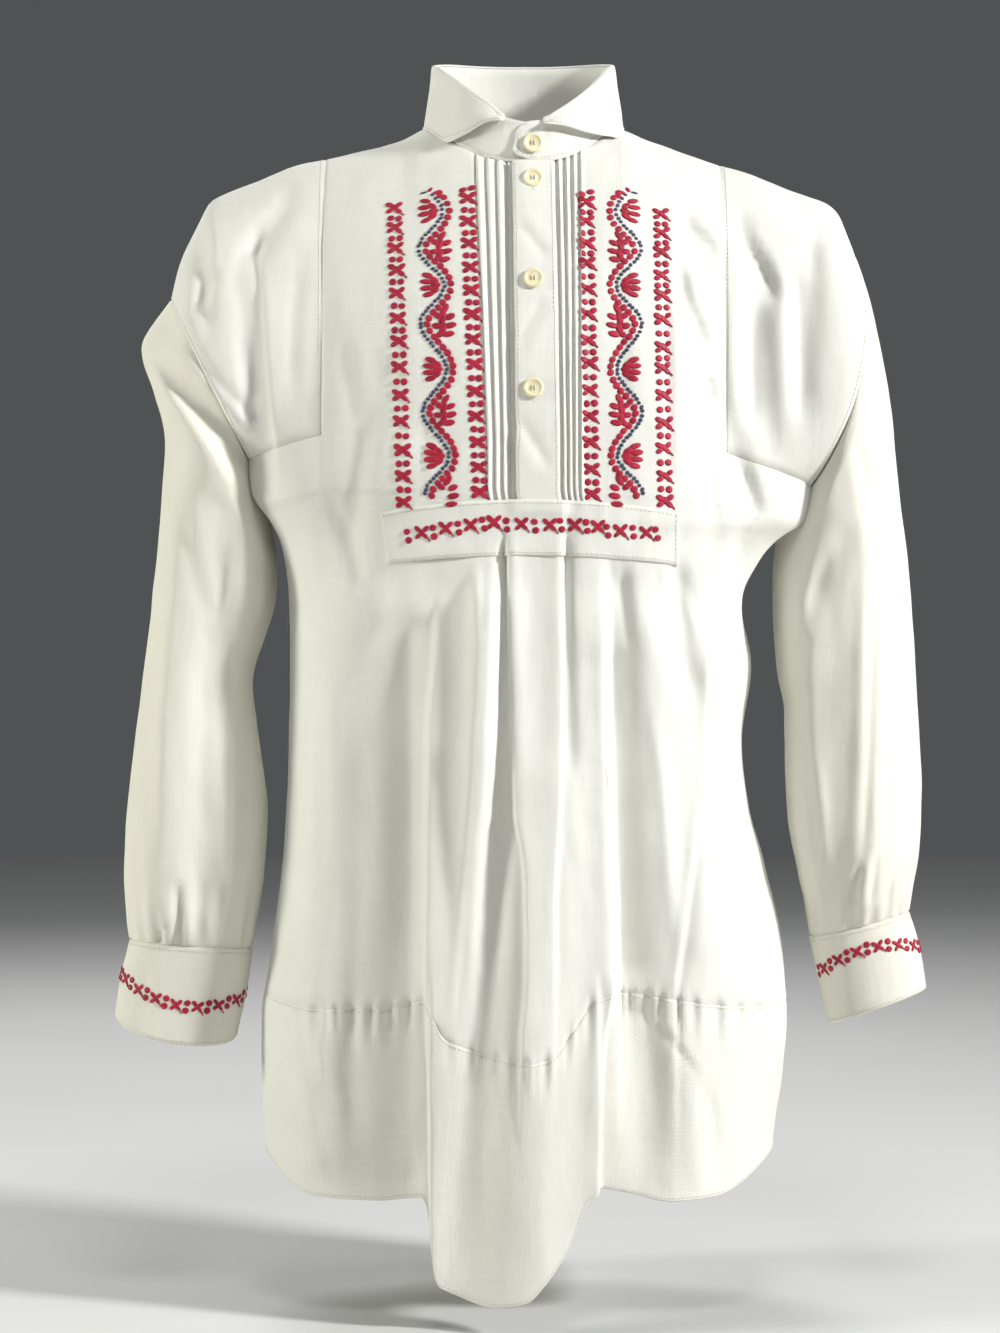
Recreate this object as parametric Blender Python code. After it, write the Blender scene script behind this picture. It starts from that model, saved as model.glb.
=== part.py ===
# Embroidered linen folk shirt, worn form, hollow, open at the neck, cuffs and hem.
# Metres, +Z up. The front looks along -Y. The origin is the middle of the neck at shoulder height.
# "minus" and "plus" below mean the sides at -X (the wearer's right) and +X (the wearer's left).

import math
from collections import namedtuple

import bpy
import numpy as np
from mathutils.bvhtree import BVHTree

# Driving sizes
CLOTH = 0.0012
COLLAR_CLOTH = 0.0015
SEAM_GAP = 0.0003
FOLD_LIMIT = 0.2
FOLD_RETREAT = 0.00025
SECTION_POWER = 0.833
CHEST_HALF_WIDTH = 0.200
SHOULDER_SEAM_X = 0.152
NECK_HALF_WIDTH = 0.0745
NECK_FRONT = 0.077
NECK_BACK = 0.045
CLOTH_ROUGHNESS = 0.85
BUTTON_ROUGHNESS = 0.35
SHARP_ANGLE = math.radians(50)

# Torso sections: the silhouette on each side, and the depth of the front and the back
Section = namedtuple("Section", "z x_minus x_plus y_front y_back")
TORSO = [
    Section(-0.240, -0.200, 0.200, -0.125, 0.112),
    Section(-0.285, -0.200, 0.200, -0.127, 0.112),
    Section(-0.307, -0.190, 0.199, -0.127, 0.112),
    Section(-0.320, -0.186, 0.184, -0.127, 0.111),
    Section(-0.335, -0.184, 0.176, -0.127, 0.110),
    Section(-0.366, -0.182, 0.169, -0.127, 0.109),
    Section(-0.416, -0.181, 0.177, -0.126, 0.108),
    Section(-0.475, -0.182, 0.170, -0.125, 0.109),
    Section(-0.526, -0.184, 0.175, -0.124, 0.112),
    Section(-0.567, -0.187, 0.186, -0.124, 0.116),
    Section(-0.643, -0.197, 0.203, -0.126, 0.124),
    Section(-0.690, -0.203, 0.205, -0.128, 0.127),
    Section(-0.729, -0.203, 0.202, -0.129, 0.128),
    Section(-0.787, -0.200, 0.194, -0.130, 0.128),
    Section(-0.890, -0.199, 0.192, -0.131, 0.128),
]

# Height of the line where the straight body ends and the arch over the chest begins
Chest = namedtuple("Chest", "angle z_minus z_plus")
CHEST_LINE = [
    Chest(0, -0.250, -0.250),
    Chest(46, -0.244, -0.257),
    Chest(68, -0.252, -0.272),
    Chest(90, -0.281, -0.307),
]

# The top of the shoulders, from the middle of the neck outwards
Ridge = namedtuple("Ridge", "x z_minus z_plus")
RIDGE = [
    Ridge(0.000, 0.025, 0.025),
    Ridge(0.077, 0.000, 0.000),
    Ridge(0.096, -0.009, -0.008),
    Ridge(0.131, -0.018, -0.020),
    Ridge(0.155, -0.023, -0.028),
    Ridge(0.175, -0.027, -0.034),
    Ridge(0.211, -0.041, -0.048),
    Ridge(0.236, -0.051, -0.057),
    Ridge(0.244, -0.056, -0.064),
    Ridge(0.252, -0.072, -0.082),
    Ridge(0.257, -0.082, -0.098),
    Ridge(0.266, -0.101, -0.115),
    Ridge(0.274, -0.132, -0.130),
]

# The body's columns lean a little between the breast and the shoulder
Fan = namedtuple("Fan", "x_breast x_shoulder")
FAN = [
    Fan(-0.152, -0.152),
    Fan(-0.077, -0.077),
    Fan(-0.027, -0.038),
    Fan(-0.010, -0.013),
    Fan(0.027, 0.022),
    Fan(0.042, 0.043),
    Fan(0.077, 0.077),
    Fan(0.152, 0.152),
]

# Armholes: the seam's top and its bottom under the arm, its half depth, and how far it bows outwards
Armhole = namedtuple("Armhole", "top_x top_z under_x under_z depth bow")
ARMHOLES = {
    -1: Armhole(0.274, -0.132, 0.200, -0.281, 0.078, 0.000),
    1: Armhole(0.257, -0.098, 0.199, -0.307, 0.078, 0.026),
}

# Lower edge of the upper front, and hem of its band, across the front
Hem = namedtuple("Hem", "x z_seam z_hem")
WIDEST_ROW = 11
HEM_FRONT = [
    Hem(-0.203, -0.669, -0.790),
    Hem(-0.160, -0.675, -0.816),
    Hem(-0.110, -0.675, -0.816),
    Hem(-0.080, -0.668, -0.814),
    Hem(-0.066, -0.676, -0.850),
    Hem(-0.055, -0.694, -0.876),
    Hem(-0.020, -0.706, -0.888),
    Hem(0.005, -0.709, -0.884),
    Hem(0.020, -0.706, -0.871),
    Hem(0.037, -0.684, -0.847),
    Hem(0.050, -0.665, -0.811),
    Hem(0.066, -0.661, -0.807),
    Hem(0.120, -0.668, -0.817),
    Hem(0.155, -0.673, -0.815),
    Hem(0.205, -0.676, -0.788),
]
HEM_BACK = [
    Hem(-0.203, -0.669, -0.790),
    Hem(-0.150, -0.676, -0.812),
    Hem(-0.080, -0.680, -0.826),
    Hem(0.000, -0.682, -0.832),
    Hem(0.080, -0.681, -0.827),
    Hem(0.150, -0.679, -0.811),
    Hem(0.205, -0.676, -0.788),
]

# The middle of the front stands forward between two edges
Stand = namedtuple("Stand", "z x_minus x_plus forward")
STANDING_PART = [
    Stand(-0.360, -0.064, 0.062, 0.000),
    Stand(-0.420, -0.069, 0.063, 0.008),
    Stand(-0.480, -0.073, 0.064, 0.013),
    Stand(-0.580, -0.074, 0.067, 0.018),
    Stand(-0.650, -0.074, 0.068, 0.022),
    Stand(-0.700, -0.072, 0.060, 0.025),
    Stand(-0.800, -0.070, 0.056, 0.028),
    Stand(-0.890, -0.069, 0.056, 0.030),
]
STANDING_EDGE = 0.010
EDGE_PULL = 0.75
EDGE_PULL_REACH = 0.014

# Folds: a soft trough (depth above 0) or ridge (below 0) along a straight run, seen from the front.
# lean above 0 makes the +X side of the fold gentler and the -X side steeper.
Fold = namedtuple("Fold", "name x_top z_top x_low z_low width_top width_low depth_top depth_low lean")
FRONT_FOLDS = [
    Fold("pleat mouth, minus", -0.014, -0.338, -0.018, -0.515, 0.004, 0.010, 0.003, 0.014, 0.0),
    Fold("pleat mouth, low", -0.019, -0.545, -0.035, -0.860, 0.012, 0.024, 0.016, 0.006, -0.10),
    Fold("pleat mouth, plus", 0.030, -0.338, 0.034, -0.480, 0.004, 0.006, 0.003, 0.003, 0.0),
    Fold("bright ridge", 0.028, -0.500, 0.022, -0.870, 0.014, 0.018, -0.004, -0.009, 0.0),
    Fold("trough beside the edge", 0.065, -0.362, 0.073, -0.640, 0.010, 0.016, 0.009, 0.010, 0.3),
    Fold("trough beside the edge, low", 0.086, -0.680, 0.090, -0.810, 0.021, 0.020, 0.011, 0.005, 0.2),
    Fold("short trough towards the side", 0.114, -0.362, 0.124, -0.430, 0.009, 0.011, 0.010, 0.006, 0.0),
    Fold("ridge beside the crease", 0.150, -0.420, 0.134, -0.620, 0.012, 0.014, -0.003, -0.004, 0.0),
    Fold("hollow at the minus side", -0.090, -0.400, -0.092, -0.800, 0.020, 0.027, 0.007, 0.010, -0.20),
    Fold("short trough, minus", -0.052, -0.362, -0.056, -0.470, 0.011, 0.011, 0.010, 0.004, 0.0),
    Fold("side ridge, minus", -0.146, -0.450, -0.158, -0.780, 0.018, 0.022, -0.004, -0.007, 0.0),
    Fold("breast hollow, minus", -0.112, -0.200, -0.126, -0.340, 0.018, 0.024, 0.003, 0.004, 0.0),
    Fold("breast fold, plus", 0.132, -0.160, 0.166, -0.330, 0.009, 0.012, 0.003, 0.004, 0.3),
    Fold("short breast fold, plus", 0.124, -0.080, 0.142, -0.140, 0.008, 0.008, 0.003, 0.003, 0.2),
    Fold("underarm fold, plus", 0.158, -0.255, 0.186, -0.310, 0.008, 0.008, 0.003, 0.002, 0.2),
    Fold("shoulder fold one, minus", -0.202, -0.105, -0.197, -0.235, 0.008, 0.010, 0.004, 0.004, 0.0),
    Fold("shoulder fold two, minus", -0.246, -0.105, -0.240, -0.150, 0.007, 0.007, 0.004, 0.003, 0.0),
    Fold("shoulder slant, minus", -0.182, -0.065, -0.226, -0.122, 0.008, 0.009, 0.004, 0.004, 0.0),
    Fold("shoulder fold one, plus", 0.178, -0.135, 0.184, -0.235, 0.008, 0.010, 0.004, 0.004, 0.0),
    Fold("shoulder fold two, plus", 0.220, -0.108, 0.214, -0.215, 0.008, 0.009, 0.004, 0.003, 0.0),
    Fold("shoulder slant, plus", 0.166, -0.085, 0.192, -0.125, 0.008, 0.008, 0.003, 0.003, 0.0),
    Fold("sleeve slant, minus", -0.284, -0.180, -0.204, -0.280, 0.010, 0.011, 0.006, 0.005, 0.3),
    Fold("sleeve trough, minus", -0.226, -0.330, -0.232, -0.590, 0.013, 0.013, 0.006, 0.006, 0.0),
    Fold("sleeve ridge, minus", -0.266, -0.300, -0.272, -0.600, 0.018, 0.018, -0.004, -0.004, 0.0),
    Fold("sleeve slant, plus", 0.240, -0.325, 0.214, -0.395, 0.009, 0.009, 0.006, 0.004, 0.0),
    Fold("sleeve bend, plus", 0.214, -0.405, 0.210, -0.475, 0.009, 0.009, 0.005, 0.003, 0.0),
    Fold("sleeve trough, plus", 0.284, -0.250, 0.280, -0.570, 0.009, 0.010, 0.005, 0.006, 0.3),
    Fold("sleeve ridge, plus", 0.267, -0.230, 0.262, -0.590, 0.011, 0.012, -0.004, -0.005, 0.0),
]
BACK_FOLDS = [
    Fold("shoulder blade hollow, minus", -0.085, -0.190, -0.070, -0.420, 0.020, 0.022, 0.003, 0.005, 0.0),
    Fold("long fold, minus", -0.110, -0.400, -0.125, -0.820, 0.018, 0.026, 0.005, 0.010, 0.3),
    Fold("centre fold", 0.010, -0.360, 0.004, -0.820, 0.014, 0.026, 0.003, 0.009, -0.2),
    Fold("long fold, plus", 0.095, -0.330, 0.108, -0.820, 0.018, 0.024, 0.004, 0.011, -0.3),
    Fold("ridge, minus", -0.055, -0.470, -0.058, -0.820, 0.020, 0.024, -0.003, -0.006, 0.0),
    Fold("ridge, plus", 0.058, -0.440, 0.054, -0.820, 0.020, 0.024, -0.003, -0.007, 0.0),
    Fold("armhole slant, minus", -0.150, -0.140, -0.184, -0.260, 0.010, 0.012, 0.004, 0.004, 0.0),
    Fold("armhole slant, plus", 0.150, -0.150, 0.184, -0.280, 0.010, 0.012, 0.004, 0.004, 0.0),
    Fold("sleeve back trough, minus", -0.250, -0.230, -0.252, -0.560, 0.012, 0.013, 0.005, 0.006, 0.2),
    Fold("sleeve back bend, minus", -0.280, -0.390, -0.226, -0.450, 0.009, 0.009, 0.004, 0.003, 0.0),
    Fold("sleeve back trough, plus", 0.246, -0.240, 0.252, -0.570, 0.012, 0.013, 0.005, 0.006, -0.2),
    Fold("sleeve back bend, plus", 0.290, -0.400, 0.232, -0.460, 0.009, 0.009, 0.004, 0.003, 0.0),
]
FOLD_END_FADE = 0.018
CHEST_BULGE = 0.006
BULGE_OUTWARD = 0.5
BULGE_FORWARD = 0.8
CORNER_ANGLE = math.radians(68)
CORNER_TURN = math.radians(45)
FLARE_FROM = 0.72
FOLD_FACING = 0.030

# Sleeves: outer and inner silhouette of each ring, half depth, forward shift and bow of the ring
Ring = namedtuple("Ring", "outer_x outer_z inner_x inner_z depth y_centre bow")
SLEEVE_RINGS = {
    -1: [
        Ring(0.297, -0.170, 0.1975, -0.297, 0.077, 0.000, 0.000),
        Ring(0.287, -0.205, 0.1945, -0.318, 0.074, 0.000, 0.000),
        Ring(0.279, -0.243, 0.1915, -0.340, 0.071, -0.001, 0.000),
        Ring(0.283, -0.303, 0.1930, -0.366, 0.068, -0.001, 0.000),
        Ring(0.288, -0.360, 0.2010, -0.394, 0.065, -0.002, 0.000),
        Ring(0.293, -0.410, 0.2110, -0.430, 0.062, -0.003, 0.000),
        Ring(0.301, -0.475, 0.2060, -0.472, 0.060, -0.005, 0.000),
        Ring(0.308, -0.537, 0.1990, -0.530, 0.057, -0.008, 0.000),
        Ring(0.310, -0.580, 0.2010, -0.575, 0.052, -0.010, 0.000),
        Ring(0.307, -0.612, 0.2070, -0.615, 0.043, -0.012, 0.000),
        Ring(0.3045, -0.629, 0.2105, -0.636, 0.034, -0.013, 0.000),
    ],
    1: [
        Ring(0.272, -0.145, 0.1970, -0.325, 0.076, 0.000, 0.016),
        Ring(0.284, -0.200, 0.1950, -0.350, 0.073, 0.000, 0.004),
        Ring(0.291, -0.262, 0.1960, -0.385, 0.070, -0.001, 0.000),
        Ring(0.297, -0.320, 0.1990, -0.425, 0.067, -0.001, 0.000),
        Ring(0.302, -0.375, 0.2040, -0.455, 0.064, -0.002, 0.000),
        Ring(0.307, -0.440, 0.2040, -0.490, 0.061, -0.003, 0.000),
        Ring(0.310, -0.510, 0.2060, -0.535, 0.058, -0.006, 0.000),
        Ring(0.307, -0.565, 0.2130, -0.575, 0.052, -0.009, 0.000),
        Ring(0.302, -0.592, 0.2190, -0.607, 0.043, -0.011, 0.000),
        Ring(0.2985, -0.607, 0.2225, -0.627, 0.035, -0.012, 0.000),
    ],
}
CUFF_RINGS = {
    -1: [
        Ring(0.3045, -0.629, 0.2105, -0.636, 0.034, -0.013, 0.000),
        Ring(0.3120, -0.660, 0.2150, -0.668, 0.033, -0.013, 0.000),
        Ring(0.3160, -0.688, 0.2230, -0.704, 0.034, -0.014, 0.000),
    ],
    1: [
        Ring(0.2985, -0.607, 0.2225, -0.627, 0.035, -0.012, 0.000),
        Ring(0.3070, -0.637, 0.2300, -0.661, 0.034, -0.012, 0.000),
        Ring(0.3120, -0.667, 0.2370, -0.694, 0.036, -0.013, 0.000),
    ],
}
CUFF_FRONT_DROP = {-1: 0.010, 1: -0.002}
SLEEVE_GATHERS = 12
SLEEVE_GATHER_DEPTH = 0.0013
SLEEVE_GATHER_FROM = 0.86
SLEEVE_GATHER_GROWTH = 0.08
SLEEVE_GATHER_END = 0.05
TAIL_GATHER_DEPTH = 0.0011
TAIL_GATHER_START = 0.008
TAIL_GATHER_FADE = (0.010, 0.045)
SLIT_RING = 13
SLIT_HALF_ANGLE = math.radians(3.5)

# Collar: the fold line's height and the leaf's depth, by the angle round the neck from the front
CollarRow = namedtuple("CollarRow", "angle z_fold leaf")
COLLAR = [
    CollarRow(0, -0.005, 0.002),
    CollarRow(12, -0.003, 0.004),
    CollarRow(33, 0.017, 0.027),
    CollarRow(57, 0.036, 0.052),
    CollarRow(90, 0.051, 0.051),
    CollarRow(135, 0.055, 0.050),
    CollarRow(180, 0.056, 0.050),
]
FOLD_HALF_WIDTH = 0.0690
FOLD_FRONT = 0.073
FOLD_BACK = 0.047
LEAF_START = 12
UNDER_END = 16
OVER_END = -5.5
OVERLAP_STEP = 0.0026
LAP_TURN = math.radians(35)
STAND_LAP_FROM = math.radians(-305)
LEAF_LAP_END = math.radians(55)
STAND_STEPS = 50
STAND_ROWS = (0.0, 0.35, 0.7, 1.0)
STAND_INSET = 0.0006
STAND_CLEARANCE = 0.0008
STAND_LEAN_POWER = 0.55
TAB_FROM = math.radians(-340)
TAB_ROUNDING = 0.009
TAB_DEEPEST = 0.8
LEAF_STEPS = 34
LEAF_CLEARANCE = 0.0022
# The leaf's section: out from the fold line and up, then the share of its depth and out
LEAF_ROLL = ((-0.0008, 0.0020), (0.0010, 0.0024), (0.0024, 0.0008), (0.0028, -0.0015))
LEAF_FALL = ((0.25, 0.0040), (0.6, 0.0066), (1.0, 0.0092))

# Placket, tucks and breast band, on the front
PLACKET_X = (-0.0058, 0.0262)
PLACKET_OVER_Z = (-0.043, -0.2915)
PLACKET_OVER_LIFT = 0.0008 + 2 * CLOTH
PLACKET_UNDER_Z = (-0.046, -0.290)
PLACKET_UNDER_LIFT = 0.0004 + CLOTH
PLACKET_UNDER_INSET = 0.002
PLACKET_ROWS = 13
TUCKS = (-0.0270, -0.0212, -0.0155, -0.0100, 0.0290, 0.0334, 0.0377, 0.0420)
TUCK_MARGIN = 0.004
TUCK_HALF = 0.0012
TUCK_RISE = 0.0015
SLIT_X = (0.0082, 0.0122)
PLACKET_EXTRA_X = 0.0195
BAND_X = (-0.107, 0.1155)
BAND_LOW_X = (-0.1015, 0.1155)
BAND_MIDDLE = 0.004
BAND_TOP = -0.294
BAND_LOW = -0.335
BAND_SAG = (0.0092, 0.0063)
BAND_LIFT = 0.0021 + CLOTH
BAND_COLUMNS = 22

# Buttons on the placket and on the collar tab
BUTTON_RADIUS = 0.0075
BUTTON_X = 0.0068
BUTTON_HEIGHTS = (-0.0500, -0.1285, -0.2110)
COLLAR_BUTTON_Z = -0.0215
BUTTON_STANDOFF = 0.0008
BUTTON_STEPS = 16
BUTTON_PROFILE = (
    (0.0, 0.0), (0.0068, 0.0), (0.0075, 0.0011), (0.0068, 0.0024), (0.0048, 0.0016), (0.0, 0.0016),
)

# Grid
SIDE_STEPS = 4
UNDERARM_STEPS = 3
SHOULDER_STEPS = 3
ARCH_STEPS = 9
SLEEVE_COLUMNS = 24
BODY_ROWS = [0.0, 0.09, 0.18, 0.28, 0.38, 0.48, 0.58, 0.68, 0.76, 0.833, 0.893, 1.0]
BAND_ROW = 9
TAIL_ROWS = [0.0, 0.08, 0.30, 0.62, 1.0]
SLEEVE_STEPS = 16
CUFF_STEPS = 3
BACK_NECK_X = (NECK_HALF_WIDTH, 0.062, 0.040, 0.018)

LINEN = (0.80, 0.775, 0.69)
LINEN_BAND = (0.78, 0.755, 0.68)
BUTTON_CREAM = (0.83, 0.77, 0.56)


def smooth(at, keys, values):
    """Monotone cubic curve through a table's rows."""
    at = np.asarray(at, float)
    keys = np.asarray(keys, float)
    values = np.asarray(values, float)
    step = np.diff(keys)
    rise = np.diff(values) / step
    slope = np.empty_like(values)
    slope[0] = rise[0]
    slope[-1] = rise[-1]
    product = rise[:-1] * rise[1:]
    total = rise[:-1] + rise[1:]
    slope[1:-1] = np.where(product > 0, 2 * product / np.where(total == 0, 1, total), 0)
    i = np.clip(np.searchsorted(keys, at) - 1, 0, len(keys) - 2)
    u = np.clip((at - keys[i]) / step[i], 0, 1)
    start = values[i] * (1 + 2 * u) * (1 - u) ** 2 + slope[i] * step[i] * u * (1 - u) ** 2
    end = values[i + 1] * u * u * (3 - 2 * u) + slope[i + 1] * step[i] * u * u * (u - 1)
    return start + end


def column(rows, name):
    return [getattr(row, name) for row in rows]


def ease(u):
    """0 below 0, 1 above 1, and a soft S between."""
    u = np.clip(u, 0, 1)
    return u * u * (3 - 2 * u)


def by_side(minus, plus, x):
    return np.where(np.asarray(x) < 0, minus, plus)


def angle_of(x):
    """The column angle whose place on the breast is x."""
    share = np.abs(x) / CHEST_HALF_WIDTH
    return np.sign(x) * np.arcsin(np.clip(share, 0, 1) ** (1 / SECTION_POWER))


def torso(angle, z, face):
    """A point of the body's tube; face is -1 for the front and 1 for the back."""
    keys = [-row.z for row in TORSO]
    x_minus = smooth(-z, keys, column(TORSO, "x_minus"))
    x_plus = smooth(-z, keys, column(TORSO, "x_plus"))
    depth = smooth(-z, keys, column(TORSO, "y_front" if face < 0 else "y_back"))
    across = np.sign(np.sin(angle)) * np.abs(np.sin(angle)) ** SECTION_POWER
    forward = np.clip(np.cos(angle), 0, 1) ** SECTION_POWER
    x = (x_minus + x_plus) / 2 + (x_plus - x_minus) / 2 * across
    y = depth * forward
    if face < 0:
        x, y = stand_forward(x, y, z)
    return np.stack([x, y, z + 0 * x], axis=-1)


def stand_forward(x, y, z):
    """Brings the middle of the front forward, with steep edges."""
    keys = [-row.z for row in STANDING_PART]
    edge_minus = smooth(-z, keys, column(STANDING_PART, "x_minus"))
    edge_plus = smooth(-z, keys, column(STANDING_PART, "x_plus"))
    forward = smooth(-z, keys, column(STANDING_PART, "forward"))
    inside = ease((x - edge_minus) / STANDING_EDGE + 0.5) * ease((edge_plus - x) / STANDING_EDGE + 0.5)
    share = forward / max(column(STANDING_PART, "forward"))
    for edge in (edge_minus, edge_plus):
        away = x - edge
        x = x - EDGE_PULL * share * away * np.exp(-(away / EDGE_PULL_REACH) ** 2)
    return x, y - forward * inside


def chest_z(angle):
    degrees = np.degrees(np.abs(angle))
    keys = column(CHEST_LINE, "angle")
    minus = smooth(degrees, keys, column(CHEST_LINE, "z_minus"))
    plus = smooth(degrees, keys, column(CHEST_LINE, "z_plus"))
    return by_side(minus, plus, angle)


def ridge_z(x):
    keys = column(RIDGE, "x")
    minus = smooth(np.abs(x), keys, column(RIDGE, "z_minus"))
    plus = smooth(np.abs(x), keys, column(RIDGE, "z_plus"))
    return by_side(minus, plus, x)


def ring_point(side, ring, turn):
    """A point of a ring: turn is 0 at the underarm and pi on the outside, through the front."""
    half_x = (ring.outer_x - ring.inner_x) / 2
    half_z = (ring.outer_z - ring.inner_z) / 2
    length = math.hypot(half_x, half_z)
    bow = ring.bow * np.sin(turn) ** 2
    x = (ring.outer_x + ring.inner_x) / 2 - half_x * np.cos(turn) + bow * half_z / length
    z = (ring.outer_z + ring.inner_z) / 2 - half_z * np.cos(turn) - bow * half_x / length
    y = ring.y_centre - ring.depth * np.sin(turn)
    return np.array([side * x, y, z])


def armhole_ring(side):
    hole = ARMHOLES[side]
    return Ring(hole.top_x, hole.top_z, hole.under_x, hole.under_z, hole.depth, 0.0, hole.bow)


def armhole(side, turn, face):
    """A point of the armhole seam, on the front for face -1 and on the back for face 1."""
    return ring_point(side, armhole_ring(side), turn if face < 0 else -turn)


def chest_point(angle, face):
    """A point of the line between the straight body and what lies above it."""
    seam = float(angle_of(SHOULDER_SEAM_X))
    side = -1 if angle < 0 else 1
    plain = torso(angle, chest_z(angle), face)
    if abs(angle) <= seam + 1e-6:
        return plain
    if abs(angle) >= CORNER_ANGLE - 1e-6:
        share = (math.pi / 2 - abs(angle)) / (math.pi / 2 - CORNER_ANGLE)
        return armhole(side, CORNER_TURN * share, face)
    q = (abs(angle) - seam) / (CORNER_ANGLE - seam)
    start = torso(side * seam, chest_z(side * seam), face)
    corner = armhole(side, CORNER_TURN, face)
    bulge = CHEST_BULGE * math.sin(math.pi * q)
    push = np.array([side * BULGE_OUTWARD, face * BULGE_FORWARD, 0.0])
    return start + (corner - start) * q + push * bulge


def arch(angle, s, face):
    """A point over the breast and shoulder: s is 0 on the chest line and 1 on the shoulder's top."""
    seam = float(angle_of(SHOULDER_SEAM_X))
    side = -1 if angle < 0 else 1
    base = chest_point(angle, face)
    q = min(max((abs(angle) - seam) / (CORNER_ANGLE - seam), 0.0), 1.0)
    hole = ARMHOLES[side]
    if q > 0:
        top_x = side * (SHOULDER_SEAM_X + (hole.top_x - SHOULDER_SEAM_X) * math.sin(q * math.pi / 2))
    else:
        top_x = float(np.interp(base[0], column(FAN, "x_breast"), column(FAN, "x_shoulder")))
    top = np.array([top_x, 0.0, float(ridge_z(top_x))])
    climb = math.sin(math.pi / 2 * s)
    body = np.array([base[0] + (top[0] - base[0]) * climb, base[1] * math.cos(math.pi / 2 * s),
                     base[2] + (top[2] - base[2]) * climb])
    first = armhole(side, CORNER_TURN, face)
    last = armhole(side, math.pi, face)
    loop = armhole(side, CORNER_TURN + (math.pi - CORNER_TURN) * s, face)
    arm = loop + (base - first) * (1 - s) + (top - last) * s
    turn = float(ease(q))
    return body * (1 - turn) + arm * turn


def neck_height(angle, face):
    """The arch height s at which a column meets the neck opening, or 1 outside it."""
    reach = NECK_FRONT if face < 0 else NECK_BACK
    s = 1.0
    for _ in range(6):
        point = arch(angle, s, face)
        share = min(abs(float(point[0])) / NECK_HALF_WIDTH, 1)
        y = reach * math.sqrt(1 - share * share)
        depth = abs(float(arch(angle, 0, face)[1]))
        s = math.acos(min(y / depth, 1)) / (math.pi / 2)
    return s


def seam_heights(angle, face):
    """Heights of the band seam and of the hem below a column."""
    rows = HEM_FRONT if face < 0 else HEM_BACK
    widest = TORSO[WIDEST_ROW]
    across = np.sign(np.sin(angle)) * np.abs(np.sin(angle)) ** SECTION_POWER
    x = (widest.x_minus + widest.x_plus) / 2 + (widest.x_plus - widest.x_minus) / 2 * across
    keys = column(rows, "x")
    return smooth(x, keys, column(rows, "z_seam")), smooth(x, keys, column(rows, "z_hem"))


def body_point(angle, v, face):
    """A point of the upper body: v runs from 0 at the band seam to 1 on the chest line."""
    seam, _ = seam_heights(angle, face)
    top = chest_point(angle, face)
    z = seam + (top[2] - seam) * v
    flare = top - torso(angle, top[2], face)
    return torso(angle, z, face) + flare * float(ease((v - FLARE_FROM) / (1 - FLARE_FROM)))


def front_at(x, z):
    """The front's point nearest a place on the breast that is given as seen from the front."""
    angle = float(angle_of(x))
    if z <= float(chest_z(angle)):
        return torso(angle, z, -1)
    low = 0.0
    high = 1.0
    for _ in range(30):
        middle = (low + high) / 2
        if arch(angle, middle, -1)[2] < z:
            low = middle
        else:
            high = middle
    return arch(angle, low, -1)


def front_at_x(x, z):
    """The front's point whose own x is given, found in a few steps."""
    aim = x
    for _ in range(4):
        aim += x - float(front_at(aim, z)[0])
    return front_at(aim, z)


def run_fade(z, fold):
    """1 along a fold's run, fading past its two ends."""
    beyond = np.maximum(z - fold.z_top, 0) + np.maximum(fold.z_low - z, 0)
    return np.exp(-(beyond / FOLD_END_FADE) ** 2)


def fold_depth(points):
    """How deep the folds press each point in, by its place seen from the front or the back."""
    x = points[:, 0]
    y = points[:, 1]
    z = points[:, 2]
    depth = np.zeros(len(points))
    for rows, facing in ((FRONT_FOLDS, ease(-y / FOLD_FACING)), (BACK_FOLDS, ease(y / FOLD_FACING))):
        for fold in rows:
            u = np.clip((fold.z_top - z) / (fold.z_top - fold.z_low), 0, 1)
            slant = math.atan2(fold.x_low - fold.x_top, fold.z_top - fold.z_low)
            away = (x - fold.x_top - (fold.x_low - fold.x_top) * u) * math.cos(slant)
            width = fold.width_top + (fold.width_low - fold.width_top) * u
            width = width * np.where(away > 0, 1 + fold.lean, 1 - fold.lean)
            amount = fold.depth_top + (fold.depth_low - fold.depth_top) * u
            depth += facing * amount * run_fade(z, fold) * np.exp(-(away / width) ** 2)
    return depth


class Cloth:
    """An open sheet of points and faces that becomes a wall with a real thickness."""

    def __init__(self, name, thickness=CLOTH):
        self.name = name
        self.thickness = thickness
        self.points = []
        self.rise = []
        self.faces = []
        self.index = {}
        self.ripple = {}
        self.halfway = []
        self.folded = True
        self.lift = 0.0

    def add(self, key, point, rise=0.0):
        self.index[key] = len(self.points)
        self.points.append([float(value) for value in point])
        self.rise.append(rise)

    def face(self, *keys):
        self.faces.append([self.index[key] for key in keys])

    def turn_over(self):
        self.faces = [face[::-1] for face in self.faces]


def grid(cloth, rows, columns):
    """Faces between the points keyed (row, column)."""
    for r in range(rows):
        for c in range(columns):
            cloth.face((r, c), (r, c + 1), (r + 1, c + 1), (r + 1, c))


def normals_of(points, faces):
    normals = np.zeros_like(points)
    for face in faces:
        corners = points[face]
        area = np.zeros(3)
        for a in range(1, len(face) - 1):
            area += np.cross(corners[a] - corners[0], corners[a + 1] - corners[0])
        normals[face] += area
    return normals


def unit(vectors):
    return vectors / np.maximum(np.linalg.norm(vectors, axis=-1, keepdims=True), 1e-12)


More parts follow.
